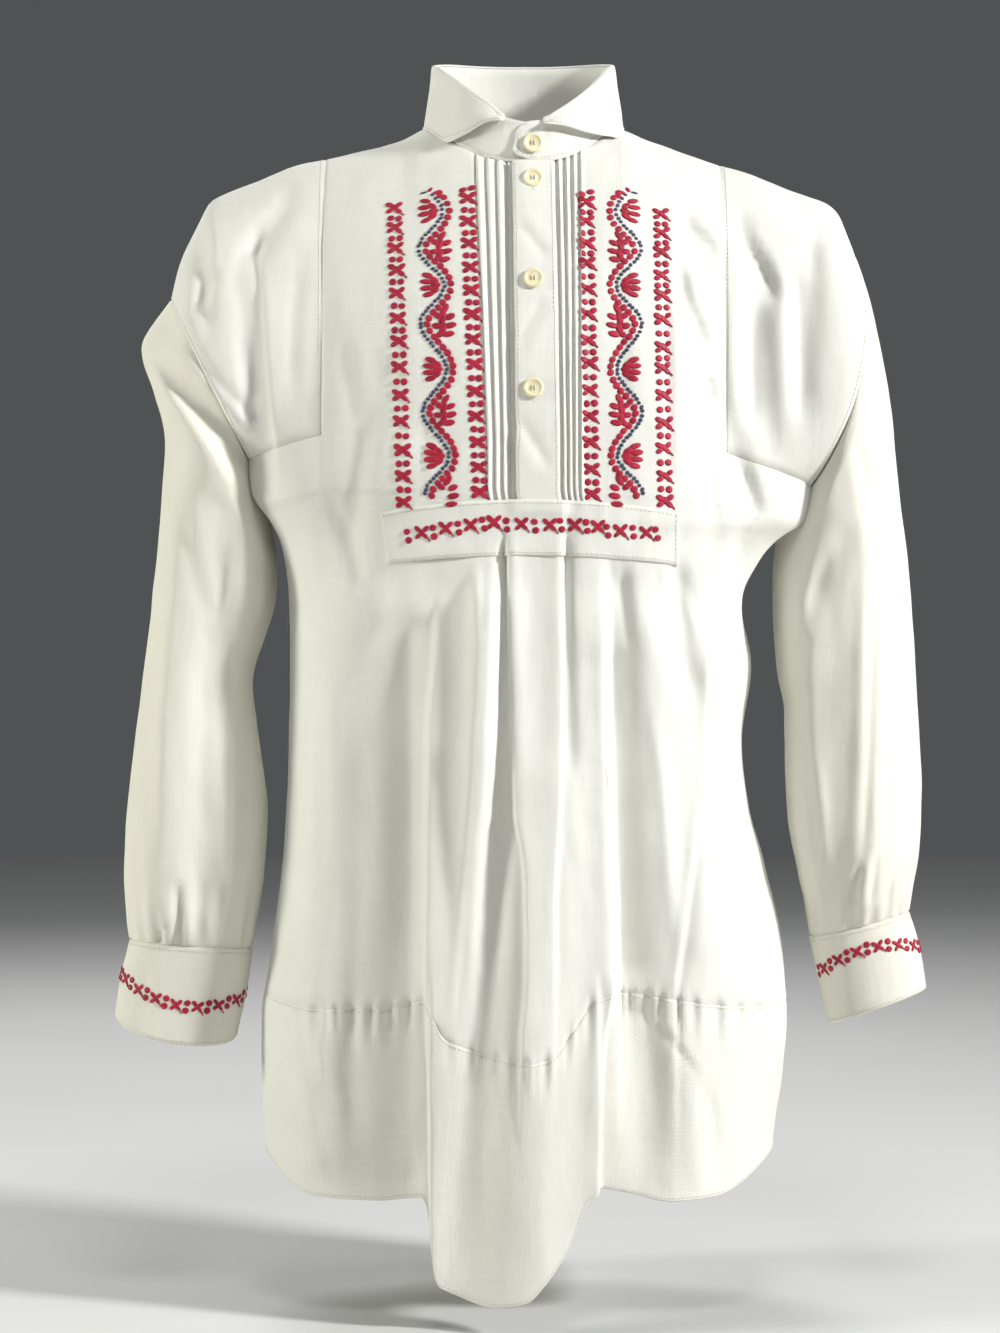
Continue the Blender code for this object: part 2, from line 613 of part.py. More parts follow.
def shared_normals(cloths):
    """Unit normals, equal where two pieces meet smoothly, and a small retreat where they meet in a fold."""
    meeting = {}
    for cloth in cloths:
        cloth.own = normals_of(cloth.points, cloth.faces)
        for place, normal in zip(np.round(cloth.points, 6), cloth.own):
            meeting.setdefault(tuple(place), []).append(normal)
    for cloth in cloths:
        shared = []
        retreat = []
        for place, own in zip(np.round(cloth.points, 6), cloth.own):
            others = meeting[tuple(place)]
            alike = [other for other in others if unit(other) @ unit(own) > FOLD_LIMIT]
            shared.append(unit(sum(alike)))
            retreat.append(-FOLD_RETREAT * unit(own) if len(alike) < len(others) else np.zeros(3))
        cloth.normals = np.array(shared)
        cloth.retreat = np.array(retreat)


def edge_loops(faces):
    """Directed edges that belong to one face only, as a map from each point to the next."""
    seen = {}
    for face in faces:
        for a, b in zip(face, face[1:] + face[:1]):
            seen[(a, b)] = True
    return {a: b for (a, b) in seen if (b, a) not in seen}


def pull_back(points, normals, after, gap):
    """Moves the edge points into the sheet by half the seam gap."""
    before = {b: a for a, b in after.items()}
    moved = points.copy()
    for here, there in after.items():
        ahead = np.cross(normals[here], points[there] - points[here])
        behind = np.cross(normals[here], points[here] - points[before[here]])
        ahead = unit(ahead)
        behind = unit(behind)
        moved[here] += (ahead + behind) / max(1 + float(ahead @ behind), 0.4) * gap / 2
    return moved


def material(name, colour, roughness):
    made = bpy.data.materials.new(name)
    made.use_nodes = True
    shader = made.node_tree.nodes["Principled BSDF"]
    shader.inputs["Base Color"].default_value = (*colour, 1.0)
    shader.inputs["Roughness"].default_value = roughness
    shader.inputs["Metallic"].default_value = 0.0
    return made


def new_object(name, points, faces, colour, roughness):
    mesh = bpy.data.meshes.new(name)
    mesh.from_pydata([tuple(point) for point in points], [], faces)
    mesh.update()
    mesh.shade_smooth()
    mesh.set_sharp_from_angle(angle=SHARP_ANGLE)
    made = bpy.data.objects.new(name, mesh)
    made.data.materials.append(material(name, colour, roughness))
    bpy.context.scene.collection.objects.link(made)
    return made


def triangles_of(points, faces):
    """Cuts four-sided faces along their shorter diagonal and others into a fan."""
    triangles = []
    for face in faces:
        a, b, c = face[:3]
        if len(face) == 4 and math.dist(points[b], points[face[3]]) < math.dist(points[a], points[c]):
            face = face[1:] + face[:1]
        triangles += [[face[0], face[i], face[i + 1]] for i in range(1, len(face) - 1)]
    return triangles


def make_wall(cloth, colour):
    """Turns a sheet into a closed wall: outer points, inner points and rims."""
    after = edge_loops(cloth.faces)
    plain = pull_back(cloth.points, cloth.normals, after, SEAM_GAP) + cloth.retreat
    outer = plain + cloth.normals * np.array(cloth.rise)[:, None]
    inner = plain - cloth.normals * cloth.thickness
    count = len(outer)
    faces = triangles_of(outer, cloth.faces)
    faces += [[i + count for i in reversed(face)] for face in faces]
    faces += [[b, a, a + count, b + count] for a, b in after.items()]
    return new_object(cloth.name, np.vstack([outer, inner]), faces, colour, CLOTH_ROUGHNESS)


def columns_between(x_from, x_to, steps):
    return [x_from + (x_to - x_from) * i / steps for i in range(1, steps)]


def shoulder_angles():
    """Column angles of the shoulder piece, from the body's seam to the armhole."""
    start = float(angle_of(SHOULDER_SEAM_X))
    return [start + (CORNER_ANGLE - start) * i / SIDE_STEPS for i in range(SIDE_STEPS + 1)]


def side_angles():
    """Column angles of the body beside the breast, from the shoulder piece to the side seam."""
    step = (math.pi / 2 - CORNER_ANGLE) / UNDERARM_STEPS
    return shoulder_angles() + [CORNER_ANGLE + step * i for i in range(1, UNDERARM_STEPS + 1)]


def front_columns():
    """Fine columns of the front: angle, rise of the outer face, and whether it goes on downwards."""
    fine = []
    for angle in side_angles()[::-1]:
        fine.append((-angle, 0.0, True))
    outer_minus = columns_between(-SHOULDER_SEAM_X, -NECK_HALF_WIDTH, SHOULDER_STEPS * 2)
    inner_minus = columns_between(-NECK_HALF_WIDTH, TUCKS[0] - TUCK_MARGIN, 5)
    inner_plus = columns_between(TUCKS[-1] + TUCK_MARGIN, NECK_HALF_WIDTH, 4)
    outer_plus = columns_between(NECK_HALF_WIDTH, SHOULDER_SEAM_X, SHOULDER_STEPS * 2)
    for x in outer_minus + [-NECK_HALF_WIDTH] + inner_minus + [TUCKS[0] - TUCK_MARGIN]:
        fine.append((float(angle_of(x)), 0.0, True))
    for tuck in TUCKS[:4]:
        fine += tuck_columns(tuck)
    for x in (SLIT_X[0], SLIT_X[1], PLACKET_EXTRA_X):
        fine.append((float(angle_of(x)), 0.0, x != SLIT_X[1]))
    for tuck in TUCKS[4:]:
        fine += tuck_columns(tuck)
    for x in [TUCKS[-1] + TUCK_MARGIN] + inner_plus + [NECK_HALF_WIDTH] + outer_plus:
        fine.append((float(angle_of(x)), 0.0, True))
    for angle in side_angles():
        fine.append((angle, 0.0, True))
    return fine


def tuck_columns(x):
    """Foot, crest and foot of one tuck."""
    return [
        (float(angle_of(x - TUCK_HALF)), 0.0, False),
        (float(angle_of(x)), TUCK_RISE, True),
        (float(angle_of(x + TUCK_HALF)), 0.0, False),
    ]


def make_front(fine):
    cloth = Cloth("front")
    low = [i for i, item in enumerate(fine) if item[2]]
    seam = float(angle_of(SHOULDER_SEAM_X)) + 1e-6
    slit = [i for i, item in enumerate(fine) if abs(item[0] - float(angle_of(SLIT_X[0]))) < 1e-9][0]
    last = len(BODY_ROWS) - 1
    for r, v in enumerate(BODY_ROWS):
        for i, (angle, rise, _) in enumerate(fine):
            if r > BAND_ROW or i in low:
                cloth.add((r, i), body_point(angle, v, -1), rise if r > BAND_ROW else 0.0)
    arched = [i for i, item in enumerate(fine) if abs(item[0]) <= seam]
    for i in arched:
        angle, rise, _ = fine[i]
        top = neck_height(angle, -1)
        for k in range(1, ARCH_STEPS + 1):
            cloth.add((last + k, i), arch(angle, top * k / ARCH_STEPS, -1), rise)
    for r in range(BAND_ROW):
        for a, b in zip(low, low[1:]):
            cloth.face((r, a), (r, b), (r + 1, b), (r + 1, a))
    for a, b in zip(low, low[1:]):
        upper = [(BAND_ROW + 1, i) for i in range(b, a - 1, -1)]
        cloth.face((BAND_ROW, a), (BAND_ROW, b), *upper)
    for r in range(BAND_ROW + 1, last + ARCH_STEPS):
        for i in range(len(fine) - 1):
            both = i in arched and i + 1 in arched
            if i != slit and (r < last or both):
                cloth.face((r, i), (r, i + 1), (r + 1, i + 1), (r + 1, i))
    return cloth


def back_columns():
    """Column angles of the back, from the plus side to the minus side, seen from behind."""
    half = side_angles()[::-1]
    between = columns_between(SHOULDER_SEAM_X, NECK_HALF_WIDTH, SHOULDER_STEPS * 2)
    half += [float(angle_of(x)) for x in between + list(BACK_NECK_X)]
    return half + [-angle for angle in half[::-1]]


def make_back(angles):
    cloth = Cloth("back")
    last = len(BODY_ROWS) - 1
    seam = float(angle_of(SHOULDER_SEAM_X)) + 1e-6
    arched = [i for i, angle in enumerate(angles) if abs(angle) <= seam]
    for r, v in enumerate(BODY_ROWS):
        for i, angle in enumerate(angles):
            cloth.add((r, i), body_point(angle, v, 1))
    for i in arched:
        top = neck_height(angles[i], 1)
        for k in range(1, ARCH_STEPS + 1):
            cloth.add((last + k, i), arch(angles[i], top * k / ARCH_STEPS, 1))
    for r in range(last + ARCH_STEPS):
        for i in range(len(angles) - 1):
            if r < last or (i in arched and i + 1 in arched):
                cloth.face((r, i), (r, i + 1), (r + 1, i + 1), (r + 1, i))
    return cloth


def tail_gather(number, below):
    """Small uneven gathers under the band seam: how deep one column lies."""
    wave = math.cos(number * math.pi) * (0.7 + 0.3 * math.sin(number * 1.7))
    fade = ease(below / TAIL_GATHER_START) * (1 - ease((below - TAIL_GATHER_FADE[0]) / TAIL_GATHER_FADE[1]))
    return TAIL_GATHER_DEPTH * wave * float(fade)


def make_tail(name, angles, face, halved):
    """The band sewn to the lower edge; halved puts a second column between each two of the seam."""
    cloth = Cloth(name)
    doubled = []
    for a, b in zip(angles, angles[1:]):
        doubled += [(a, None), (a, b)] if halved else [(a, None)]
    doubled.append((angles[-1], None))
    for r, share in enumerate(TAIL_ROWS):
        for c, (a, b) in enumerate(doubled):
            if b is None:
                point = tail_point(a, share, face)
            elif r == 0:
                point = (tail_point(a, share, face) + tail_point(b, share, face)) / 2
            else:
                point = tail_point((a + b) / 2, share, face)
            cloth.add((r, c), point)
            below = float(tail_point(a, 0, face)[2] - point[2])
            if halved and 0 < c < len(doubled) - 1:
                cloth.ripple[cloth.index[(r, c)]] = tail_gather(c, below)
    if halved:
        cloth.halfway = [(c, c - 1, c + 1) for c in range(1, len(doubled), 2)]
    grid(cloth, len(TAIL_ROWS) - 1, len(doubled) - 1)
    cloth.turn_over()
    return cloth


def tail_point(angle, share, face):
    seam, hem = seam_heights(angle, face)
    return torso(angle, seam + (hem - seam) * share, face)


def make_shoulder(name, side):
    """The piece between the body and the sleeve, from the front's chest line over to the back's."""
    cloth = Cloth(name)
    angles = shoulder_angles()
    if side < 0:
        angles = angles[::-1]
    for c, angle in enumerate(angles):
        for r in range(2 * ARCH_STEPS + 1):
            if r <= ARCH_STEPS:
                point = arch(side * angle, r / ARCH_STEPS, -1)
            else:
                point = arch(side * angle, 2 - r / ARCH_STEPS, 1)
            cloth.add((r, c), point)
    grid(cloth, 2 * ARCH_STEPS, len(angles) - 1)
    return cloth


def sleeve_ring(side, rows, v):
    """One ring's sizes, read from the rows of a sleeve or a cuff; v is 0 at the first row."""
    keys = list(range(len(rows)))
    at = v * (len(rows) - 1)
    return Ring(*[float(smooth(at, keys, column(rows, name))) for name in Ring._fields])


def make_sleeve(name, side, slit):
    cloth = Cloth(name)
    rows = [armhole_ring(side)] + SLEEVE_RINGS[side]
    columns = SLEEVE_COLUMNS
    for r in range(SLEEVE_STEPS + 1):
        v = r / SLEEVE_STEPS
        ring = sleeve_ring(side, rows, v)
        open_here = slit and r > SLIT_RING
        for c in range(columns + 1):
            if c == columns and not open_here:
                cloth.index[(r, c)] = cloth.index[(r, 0)]
                continue
            cloth.add((r, c), ring_point(side, ring, slit_turn(c, columns, open_here)))
            gather = ease((v - SLEEVE_GATHER_FROM) / SLEEVE_GATHER_GROWTH) * ease((1 - v) / SLEEVE_GATHER_END)
            wave = math.cos(SLEEVE_GATHERS * 2 * math.pi * c / columns)
            cloth.ripple[cloth.index[(r, c)]] = SLEEVE_GATHER_DEPTH * float(gather) * wave
    grid(cloth, SLEEVE_STEPS, columns)
    if side > 0:
        cloth.turn_over()
    return cloth


def slit_turn(c, columns, open_here):
    turn = 2 * math.pi * c / columns
    if open_here and c == 0:
        return SLIT_HALF_ANGLE
    if open_here and c == columns:
        return 2 * math.pi - SLIT_HALF_ANGLE
    return turn


def make_cuff(name, side, slit):
    cloth = Cloth(name, COLLAR_CLOTH)
    columns = SLEEVE_COLUMNS
    for r in range(CUFF_STEPS + 1):
        v = r / CUFF_STEPS
        ring = sleeve_ring(side, CUFF_RINGS[side], v)
        for c in range(columns + 1):
            if c == columns and not slit:
                cloth.index[(r, c)] = cloth.index[(r, 0)]
                continue
            turn = slit_turn(c, columns, slit)
            point = ring_point(side, ring, turn)
            point[2] -= CUFF_FRONT_DROP[side] * v * max(math.sin(turn), 0)
            cloth.add((r, c), point)
    grid(cloth, CUFF_STEPS, columns)
    if side > 0:
        cloth.turn_over()
    return cloth


def neck_plan(angle, half_width, front, back):
    """A point of an egg-shaped plan curve round the neck; 0 is the front, pi the back."""
    depth = front if math.cos(angle) > 0 else back
    return half_width * math.sin(angle), -depth * math.cos(angle)


def plan_outward(angle, half_width, front, back):
    """The outward direction of such a curve."""
    step = 0.01
    x0, y0 = neck_plan(angle - step, half_width, front, back)
    x1, y1 = neck_plan(angle + step, half_width, front, back)
    length = math.hypot(x1 - x0, y1 - y0)
    return (y1 - y0) / length, -(x1 - x0) / length


def neck_z(x, y):
    """Height of the body's cloth at a place near the neck."""
    face = -1 if y < 0 else 1
    angle = float(angle_of(x))
    depth = abs(float(arch(angle, 0, face)[1]))
    base = float(chest_z(angle))
    climb = math.sqrt(1 - min(abs(y) / depth, 1) ** 2)
    return base + (float(ridge_z(x)) - base) * climb


def collar_value(angle, name):
    degrees = abs(math.degrees(angle)) % 360
    degrees = min(degrees, 360 - degrees)
    return float(smooth(degrees, column(COLLAR, "angle"), column(COLLAR, name)))


def make_stand():
    """The collar's stand: a band round the neck whose +X end laps over in front as a rounded tab."""
    cloth = Cloth("collar_stand", COLLAR_CLOTH)
    cloth.folded = False
    start = math.radians(UNDER_END)
    end = math.radians(OVER_END - 360)
    inset = (NECK_HALF_WIDTH - STAND_INSET, NECK_FRONT - STAND_INSET, NECK_BACK - STAND_INSET)
    end_x = neck_plan(end, NECK_HALF_WIDTH, NECK_FRONT, NECK_BACK)[0]
    for c in range(STAND_STEPS + 1):
        angle = start + (end - start) * c / STAND_STEPS
        lap = OVERLAP_STEP * float(ease((STAND_LAP_FROM - angle) / LAP_TURN))
        x0, y0 = neck_plan(angle, *inset)
        x1, y1 = neck_plan(angle, FOLD_HALF_WIDTH, FOLD_FRONT, FOLD_BACK)
        out_x, out_y = plan_outward(angle, NECK_HALF_WIDTH, NECK_FRONT, NECK_BACK)
        low = neck_z(x0, y0) + STAND_CLEARANCE
        top = collar_value(angle, "z_fold")
        from_end = abs(x0 - end_x)
        rounding = 0.0
        if angle < TAB_FROM and from_end < TAB_ROUNDING:
            rounding = TAB_ROUNDING - math.sqrt(TAB_ROUNDING ** 2 - (TAB_ROUNDING - from_end) ** 2)
        top -= min(rounding, TAB_DEEPEST * TAB_ROUNDING)
        for r, share in enumerate(STAND_ROWS):
            lean = share ** STAND_LEAN_POWER
            x = x0 + (x1 - x0) * lean + out_x * lap
            y = y0 + (y1 - y0) * lean + out_y * lap
            cloth.add((r, c), (x, y, low + (top - low) * share))
    grid(cloth, len(STAND_ROWS) - 1, STAND_STEPS)
    cloth.turn_over()
    return cloth


def make_leaf():
    """The collar's leaf: rolls over the stand's top edge and falls outside it, cut away in front."""
    cloth = Cloth("collar_leaf", COLLAR_CLOTH)
    cloth.folded = False
    start = math.radians(LEAF_START)
    rolled = LEAF_ROLL[-1][1]
    for c in range(LEAF_STEPS + 1):
        angle = start + (2 * math.pi - 2 * start) * c / LEAF_STEPS
        x1, y1 = neck_plan(angle, FOLD_HALF_WIDTH, FOLD_FRONT, FOLD_BACK)
        out_x, out_y = plan_outward(angle, FOLD_HALF_WIDTH, FOLD_FRONT, FOLD_BACK)
        top = collar_value(angle, "z_fold")
        depth = collar_value(angle, "leaf")
        lap = OVERLAP_STEP * float(ease((LEAF_LAP_END - angle) / LAP_TURN))
        profile = list(LEAF_ROLL) + [(out, rolled - (depth + rolled) * share) for share, out in LEAF_FALL]
        for r, (out, drop) in enumerate(profile):
            x = x1 + out_x * (out + lap)
            y = y1 + out_y * (out + lap)
            z = max(top + drop, neck_z(x, y) + LEAF_CLEARANCE)
            cloth.add((r, c), (x, y, z))
    grid(cloth, len(LEAF_ROLL) + len(LEAF_FALL) - 1, LEAF_STEPS)
    cloth.turn_over()
    return cloth


def placket_strip(name, inset, lift, heights, columns):
    """A narrow upright strip made from the front's own points, moved out."""
    cloth = Cloth(name)
    x_from = PLACKET_X[0] + inset
    x_to = PLACKET_X[1] - inset
    z_top, z_low = heights
    for r in range(PLACKET_ROWS + 1):
        z = z_low + (z_top - z_low) * r / PLACKET_ROWS
        for c in range(columns + 1):
            x = x_from + (x_to - x_from) * c / columns
            cloth.add((r, c), front_at(x, z))
    cloth.lift = lift
    grid(cloth, PLACKET_ROWS, columns)
    return cloth


def make_breast_band():
    cloth = Cloth("bib_band")
    for r in range(3):
        v = r / 2
        for c in range(BAND_COLUMNS + 1):
            u = c / BAND_COLUMNS
            x_low = BAND_LOW_X[0] + (BAND_LOW_X[1] - BAND_LOW_X[0]) * u
            x_top = BAND_X[0] + (BAND_X[1] - BAND_X[0]) * u
            x = x_low + (x_top - x_low) * v
            bend = ((x - BAND_MIDDLE) / (BAND_X[1] - BAND_MIDDLE)) ** 2
            z_low = BAND_LOW - BAND_SAG[1] * bend
            z_top = BAND_TOP - BAND_SAG[0] * bend
            cloth.add((r, c), front_at_x(x, z_low + (z_top - z_low) * v))
    cloth.lift = BAND_LIFT
    grid(cloth, 2, BAND_COLUMNS)
    return cloth


def make_button(name, centre, outward):
    """A flat turned button, its axis along outward."""
    outward = unit(np.asarray(outward, float))
    across = unit(np.cross(outward, (0.0, 0.0, 1.0)))
    upward = np.cross(across, outward)
    points = []
    for radius, height in BUTTON_PROFILE:
        if radius == 0.0:
            points.append(centre + outward * height)
            continue
        for i in range(BUTTON_STEPS):
            turn = 2 * math.pi * i / BUTTON_STEPS
            spoke = across * math.cos(turn) + upward * math.sin(turn)
            points.append(centre + outward * height + spoke * radius)
    faces = []
    last = len(points) - 1
    bands = len(BUTTON_PROFILE) - 2
    for i in range(BUTTON_STEPS):
        j = (i + 1) % BUTTON_STEPS
        faces.append([0, 1 + i, 1 + j])
        for b in range(bands - 1):
            low = 1 + b * BUTTON_STEPS
            high = low + BUTTON_STEPS
            faces.append([low + i, high + i, high + j, low + j])
        top = 1 + (bands - 1) * BUTTON_STEPS
        faces.append([top + i, last, top + j])
    return new_object(name, points, faces, BUTTON_CREAM, BUTTON_ROUGHNESS)


def button_seat(cloth, x, z):
    """Where a button sits on a sheet's outer face, seen from the front, and the way it looks."""
    tree = BVHTree.FromPolygons([tuple(point) for point in cloth.points], cloth.faces)
    place, normal, _, _ = tree.ray_cast((x, -1.0, z), (0.0, 1.0, 0.0))
    outward = unit(np.array(normal))
    return np.array(place) + outward * BUTTON_STANDOFF, outward


def clear_scene():
    for item in list(bpy.data.objects):
        bpy.data.objects.remove(item, do_unlink=True)


def press_folds(cloth):
    """Moves a sheet's points in by its folds and gathers."""
    depth = fold_depth(cloth.points) if cloth.folded else np.zeros(len(cloth.points))
    for i, ripple in cloth.ripple.items():
        depth[i] += ripple
    cloth.points = cloth.points - cloth.normals * depth[:, None]
    for middle, a, b in cloth.halfway:
        cloth.points[middle] = (cloth.points[a] + cloth.points[b]) / 2


def build():
    clear_scene()
    fine = front_columns()
    low_angles = [angle for angle, _, goes_down in fine if goes_down]
    back = back_columns()
    cloths = [
        make_front(fine),
        make_back(back),
        make_tail("tail_front", low_angles, -1, True),
        make_tail("tail_back", back, 1, False),
        make_shoulder("shoulder_right", -1),
        make_shoulder("shoulder_left", 1),
        make_sleeve("sleeve_right", -1, False),
        make_sleeve("sleeve_left", 1, True),
        make_cuff("cuff_right", -1, False),
        make_cuff("cuff_left", 1, True),
        make_stand(),
        make_leaf(),
        placket_strip("placket_under", PLACKET_UNDER_INSET, PLACKET_UNDER_LIFT, PLACKET_UNDER_Z, 2),
        placket_strip("placket_over", 0.0, PLACKET_OVER_LIFT, PLACKET_OVER_Z, 3),
        make_breast_band(),
    ]
    for cloth in cloths:
        cloth.points = np.array(cloth.points)
    shared_normals(cloths)
    for cloth in cloths:
        press_folds(cloth)
    shared_normals(cloths)
    for cloth in cloths:
        for middle, a, b in cloth.halfway:
            cloth.normals[middle] = unit(cloth.normals[a] + cloth.normals[b])
        cloth.points = cloth.points + cloth.normals * cloth.lift
        colour = LINEN_BAND if cloth.name.startswith("tail") else LINEN
        make_wall(cloth, colour)
    named = {cloth.name: cloth for cloth in cloths}
    make_button("button_collar", *button_seat(named["collar_stand"], BUTTON_X, COLLAR_BUTTON_Z))
    for number, z in enumerate(BUTTON_HEIGHTS):
        make_button("button_" + str(number + 1), *button_seat(named["placket_over"], BUTTON_X, z))


build()
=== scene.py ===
# Looks of the embroidered linen folk shirt, in its worn form.
# Metres, +Z up. The front looks along -Y. "minus" and "plus" are the sides at -X and +X.

import math
from collections import namedtuple

import bpy
import numpy as np
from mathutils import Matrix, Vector, noise
from mathutils.bvhtree import BVHTree


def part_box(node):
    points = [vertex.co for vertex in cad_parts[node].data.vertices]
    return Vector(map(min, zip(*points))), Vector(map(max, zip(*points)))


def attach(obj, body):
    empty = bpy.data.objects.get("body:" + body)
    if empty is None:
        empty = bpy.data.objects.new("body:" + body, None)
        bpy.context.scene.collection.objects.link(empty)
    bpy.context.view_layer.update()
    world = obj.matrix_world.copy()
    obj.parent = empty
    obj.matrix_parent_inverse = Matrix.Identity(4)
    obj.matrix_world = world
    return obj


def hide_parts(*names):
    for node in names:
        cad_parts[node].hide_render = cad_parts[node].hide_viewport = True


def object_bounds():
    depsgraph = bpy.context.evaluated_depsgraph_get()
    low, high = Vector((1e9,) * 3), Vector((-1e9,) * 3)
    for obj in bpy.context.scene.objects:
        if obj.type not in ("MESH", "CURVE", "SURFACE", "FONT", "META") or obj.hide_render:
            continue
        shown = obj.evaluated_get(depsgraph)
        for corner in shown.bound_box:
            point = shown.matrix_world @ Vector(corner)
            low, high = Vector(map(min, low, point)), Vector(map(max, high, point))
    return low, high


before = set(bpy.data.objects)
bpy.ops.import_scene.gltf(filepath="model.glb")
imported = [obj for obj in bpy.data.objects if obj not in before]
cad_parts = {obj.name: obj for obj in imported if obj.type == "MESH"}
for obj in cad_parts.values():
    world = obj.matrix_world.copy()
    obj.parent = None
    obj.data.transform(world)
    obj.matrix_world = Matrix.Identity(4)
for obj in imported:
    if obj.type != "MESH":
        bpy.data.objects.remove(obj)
CAD_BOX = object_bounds()

# The photograph's frame: 1000 x 1333 pixels, seen level from EYE
PIXEL = 0.00078
EYE = np.array([-0.018, -2.6, -0.4177])
FRAME_MIDDLE = (500.0, 666.5)
FRAME_HEIGHT = 1333
SENSOR = 36.0

# Driving sizes of the cloth
CLOTH = 0.0012
DOUBLE_CLOTH = 0.0015
SECTION_POWER = 0.833
CHEST_HALF_WIDTH = 0.200
SHOULDER_SEAM_X = 0.152
NECK_HALF_WIDTH = 0.0745
NECK_FRONT = 0.077
NECK_BACK = 0.045
CHEST_BULGE = 0.006
BULGE_WAY = (0.5, 0.8)
CORNER_ANGLE = math.radians(68)
CORNER_TURN = math.radians(45)
FLARE_FROM = 0.72
STANDING_EDGE = 0.008
EDGE_PULL = 0.75
EDGE_PULL_REACH = 0.014
FOLD_FACING = 0.030
FOLD_END_FADE = 0.018
GROOVE_DEPTH = 0.0006
GROOVE_HALF = 0.0013
RIM_ROUNDING = 0.3
SIDE_LEVEL = -0.45

# Small uneven waves in the cloth: height, waves in a metre, stretch along Z and seed's step
CRUMPLES = ((0.0011, 24, 0.45, 0), (0.00045, 70, 0.5, 7))
CRUMPLE_FREE_EDGE = 0.012
# How strong those waves are in the sleeves, the cuffs and the collar's leaf
SLEEVE_CRUMPLES = 1.4
CUFF_CRUMPLES = 0.5
LEAF_CRUMPLES = 0.6

# How often each search is repeated, and how near is the same place
NECK_ROUNDS = 6
HALVINGS = 26
AIM_ROUNDS = 4
SAME = 1e-6


def table(names, *rows):
    """A short table as one array for each named column."""
    return dict(zip(names.split(), np.array(rows, float).T))


def millimetres(names, *rows, plain=()):
    """A table in millimetres turned into metres, apart from its plain columns."""
    return {name: values / (1 if name in plain else 1000) for name, values in table(names, *rows).items()}


TORSO = millimetres(
    "z x_minus x_plus y_front y_back",
    (-240, -200, 200, -125, 112), (-285, -200, 200, -127, 112), (-307, -190, 199, -127, 112),
    (-320, -186, 184, -127, 111), (-335, -184, 176, -127, 110), (-366, -182, 169, -127, 109),
    (-416, -181, 177, -126, 108), (-475, -182, 170, -125, 109), (-526, -184, 175, -124, 112),
    (-567, -187, 186, -124, 116), (-643, -197, 203, -126, 124), (-690, -203, 205, -128, 127),
    (-729, -203, 202, -129, 128), (-787, -200, 194, -130, 128), (-890, -199, 192, -131, 128),
)
WIDEST_ROW = 11
CHEST_LINE = table(
    "angle z_minus z_plus",
    (0, -0.250, -0.250), (46, -0.244, -0.257), (68, -0.252, -0.272), (90, -0.281, -0.307),
)
RIDGE = millimetres(
    "x z_minus z_plus",
    (0, 25, 25), (77, 0, 0), (96, -9, -8), (131, -18, -20), (155, -23, -28), (175, -27, -34),
    (211, -41, -48), (236, -51, -57), (244, -56, -64), (252, -72, -82), (257, -82, -98),
    (266, -101, -115), (274, -132, -130),
)
FAN = millimetres(
    "x_breast x_shoulder",
    (-152, -152), (-77, -77), (-27, -38), (-10, -13), (27, 22), (42, 43), (77, 77), (152, 152),
)
HEM_NAMES = "x z_seam z_hem"
HEM_FRONT = millimetres(
    HEM_NAMES,
    (-203, -669, -790), (-160, -675, -816), (-110, -675, -816), (-80, -668, -814), (-66, -676, -850),
    (-55, -694, -876), (-20, -706, -888), (5, -709, -884), (20, -706, -871), (37, -684, -847),
    (50, -665, -811), (66, -661, -807), (120, -668, -817), (155, -673, -815), (205, -676, -788),
)
HEM_BACK = millimetres(
    HEM_NAMES,
    (-203, -669, -790), (-150, -676, -812), (-80, -680, -826), (0, -682, -832), (80, -681, -827),
    (150, -679, -811), (205, -676, -788),
)
STANDING_PART = millimetres(
    "z x_minus x_plus forward",
    (-360, -64, 62, 0), (-420, -69, 63, 8), (-480, -73, 64, 13), (-580, -74, 67, 18),
    (-650, -74, 68, 22), (-700, -72, 60, 25), (-800, -70, 56, 28), (-890, -69, 56, 30),
)
FOLD_NAMES = "x_top z_top x_low z_low width_top width_low depth_top depth_low lean"
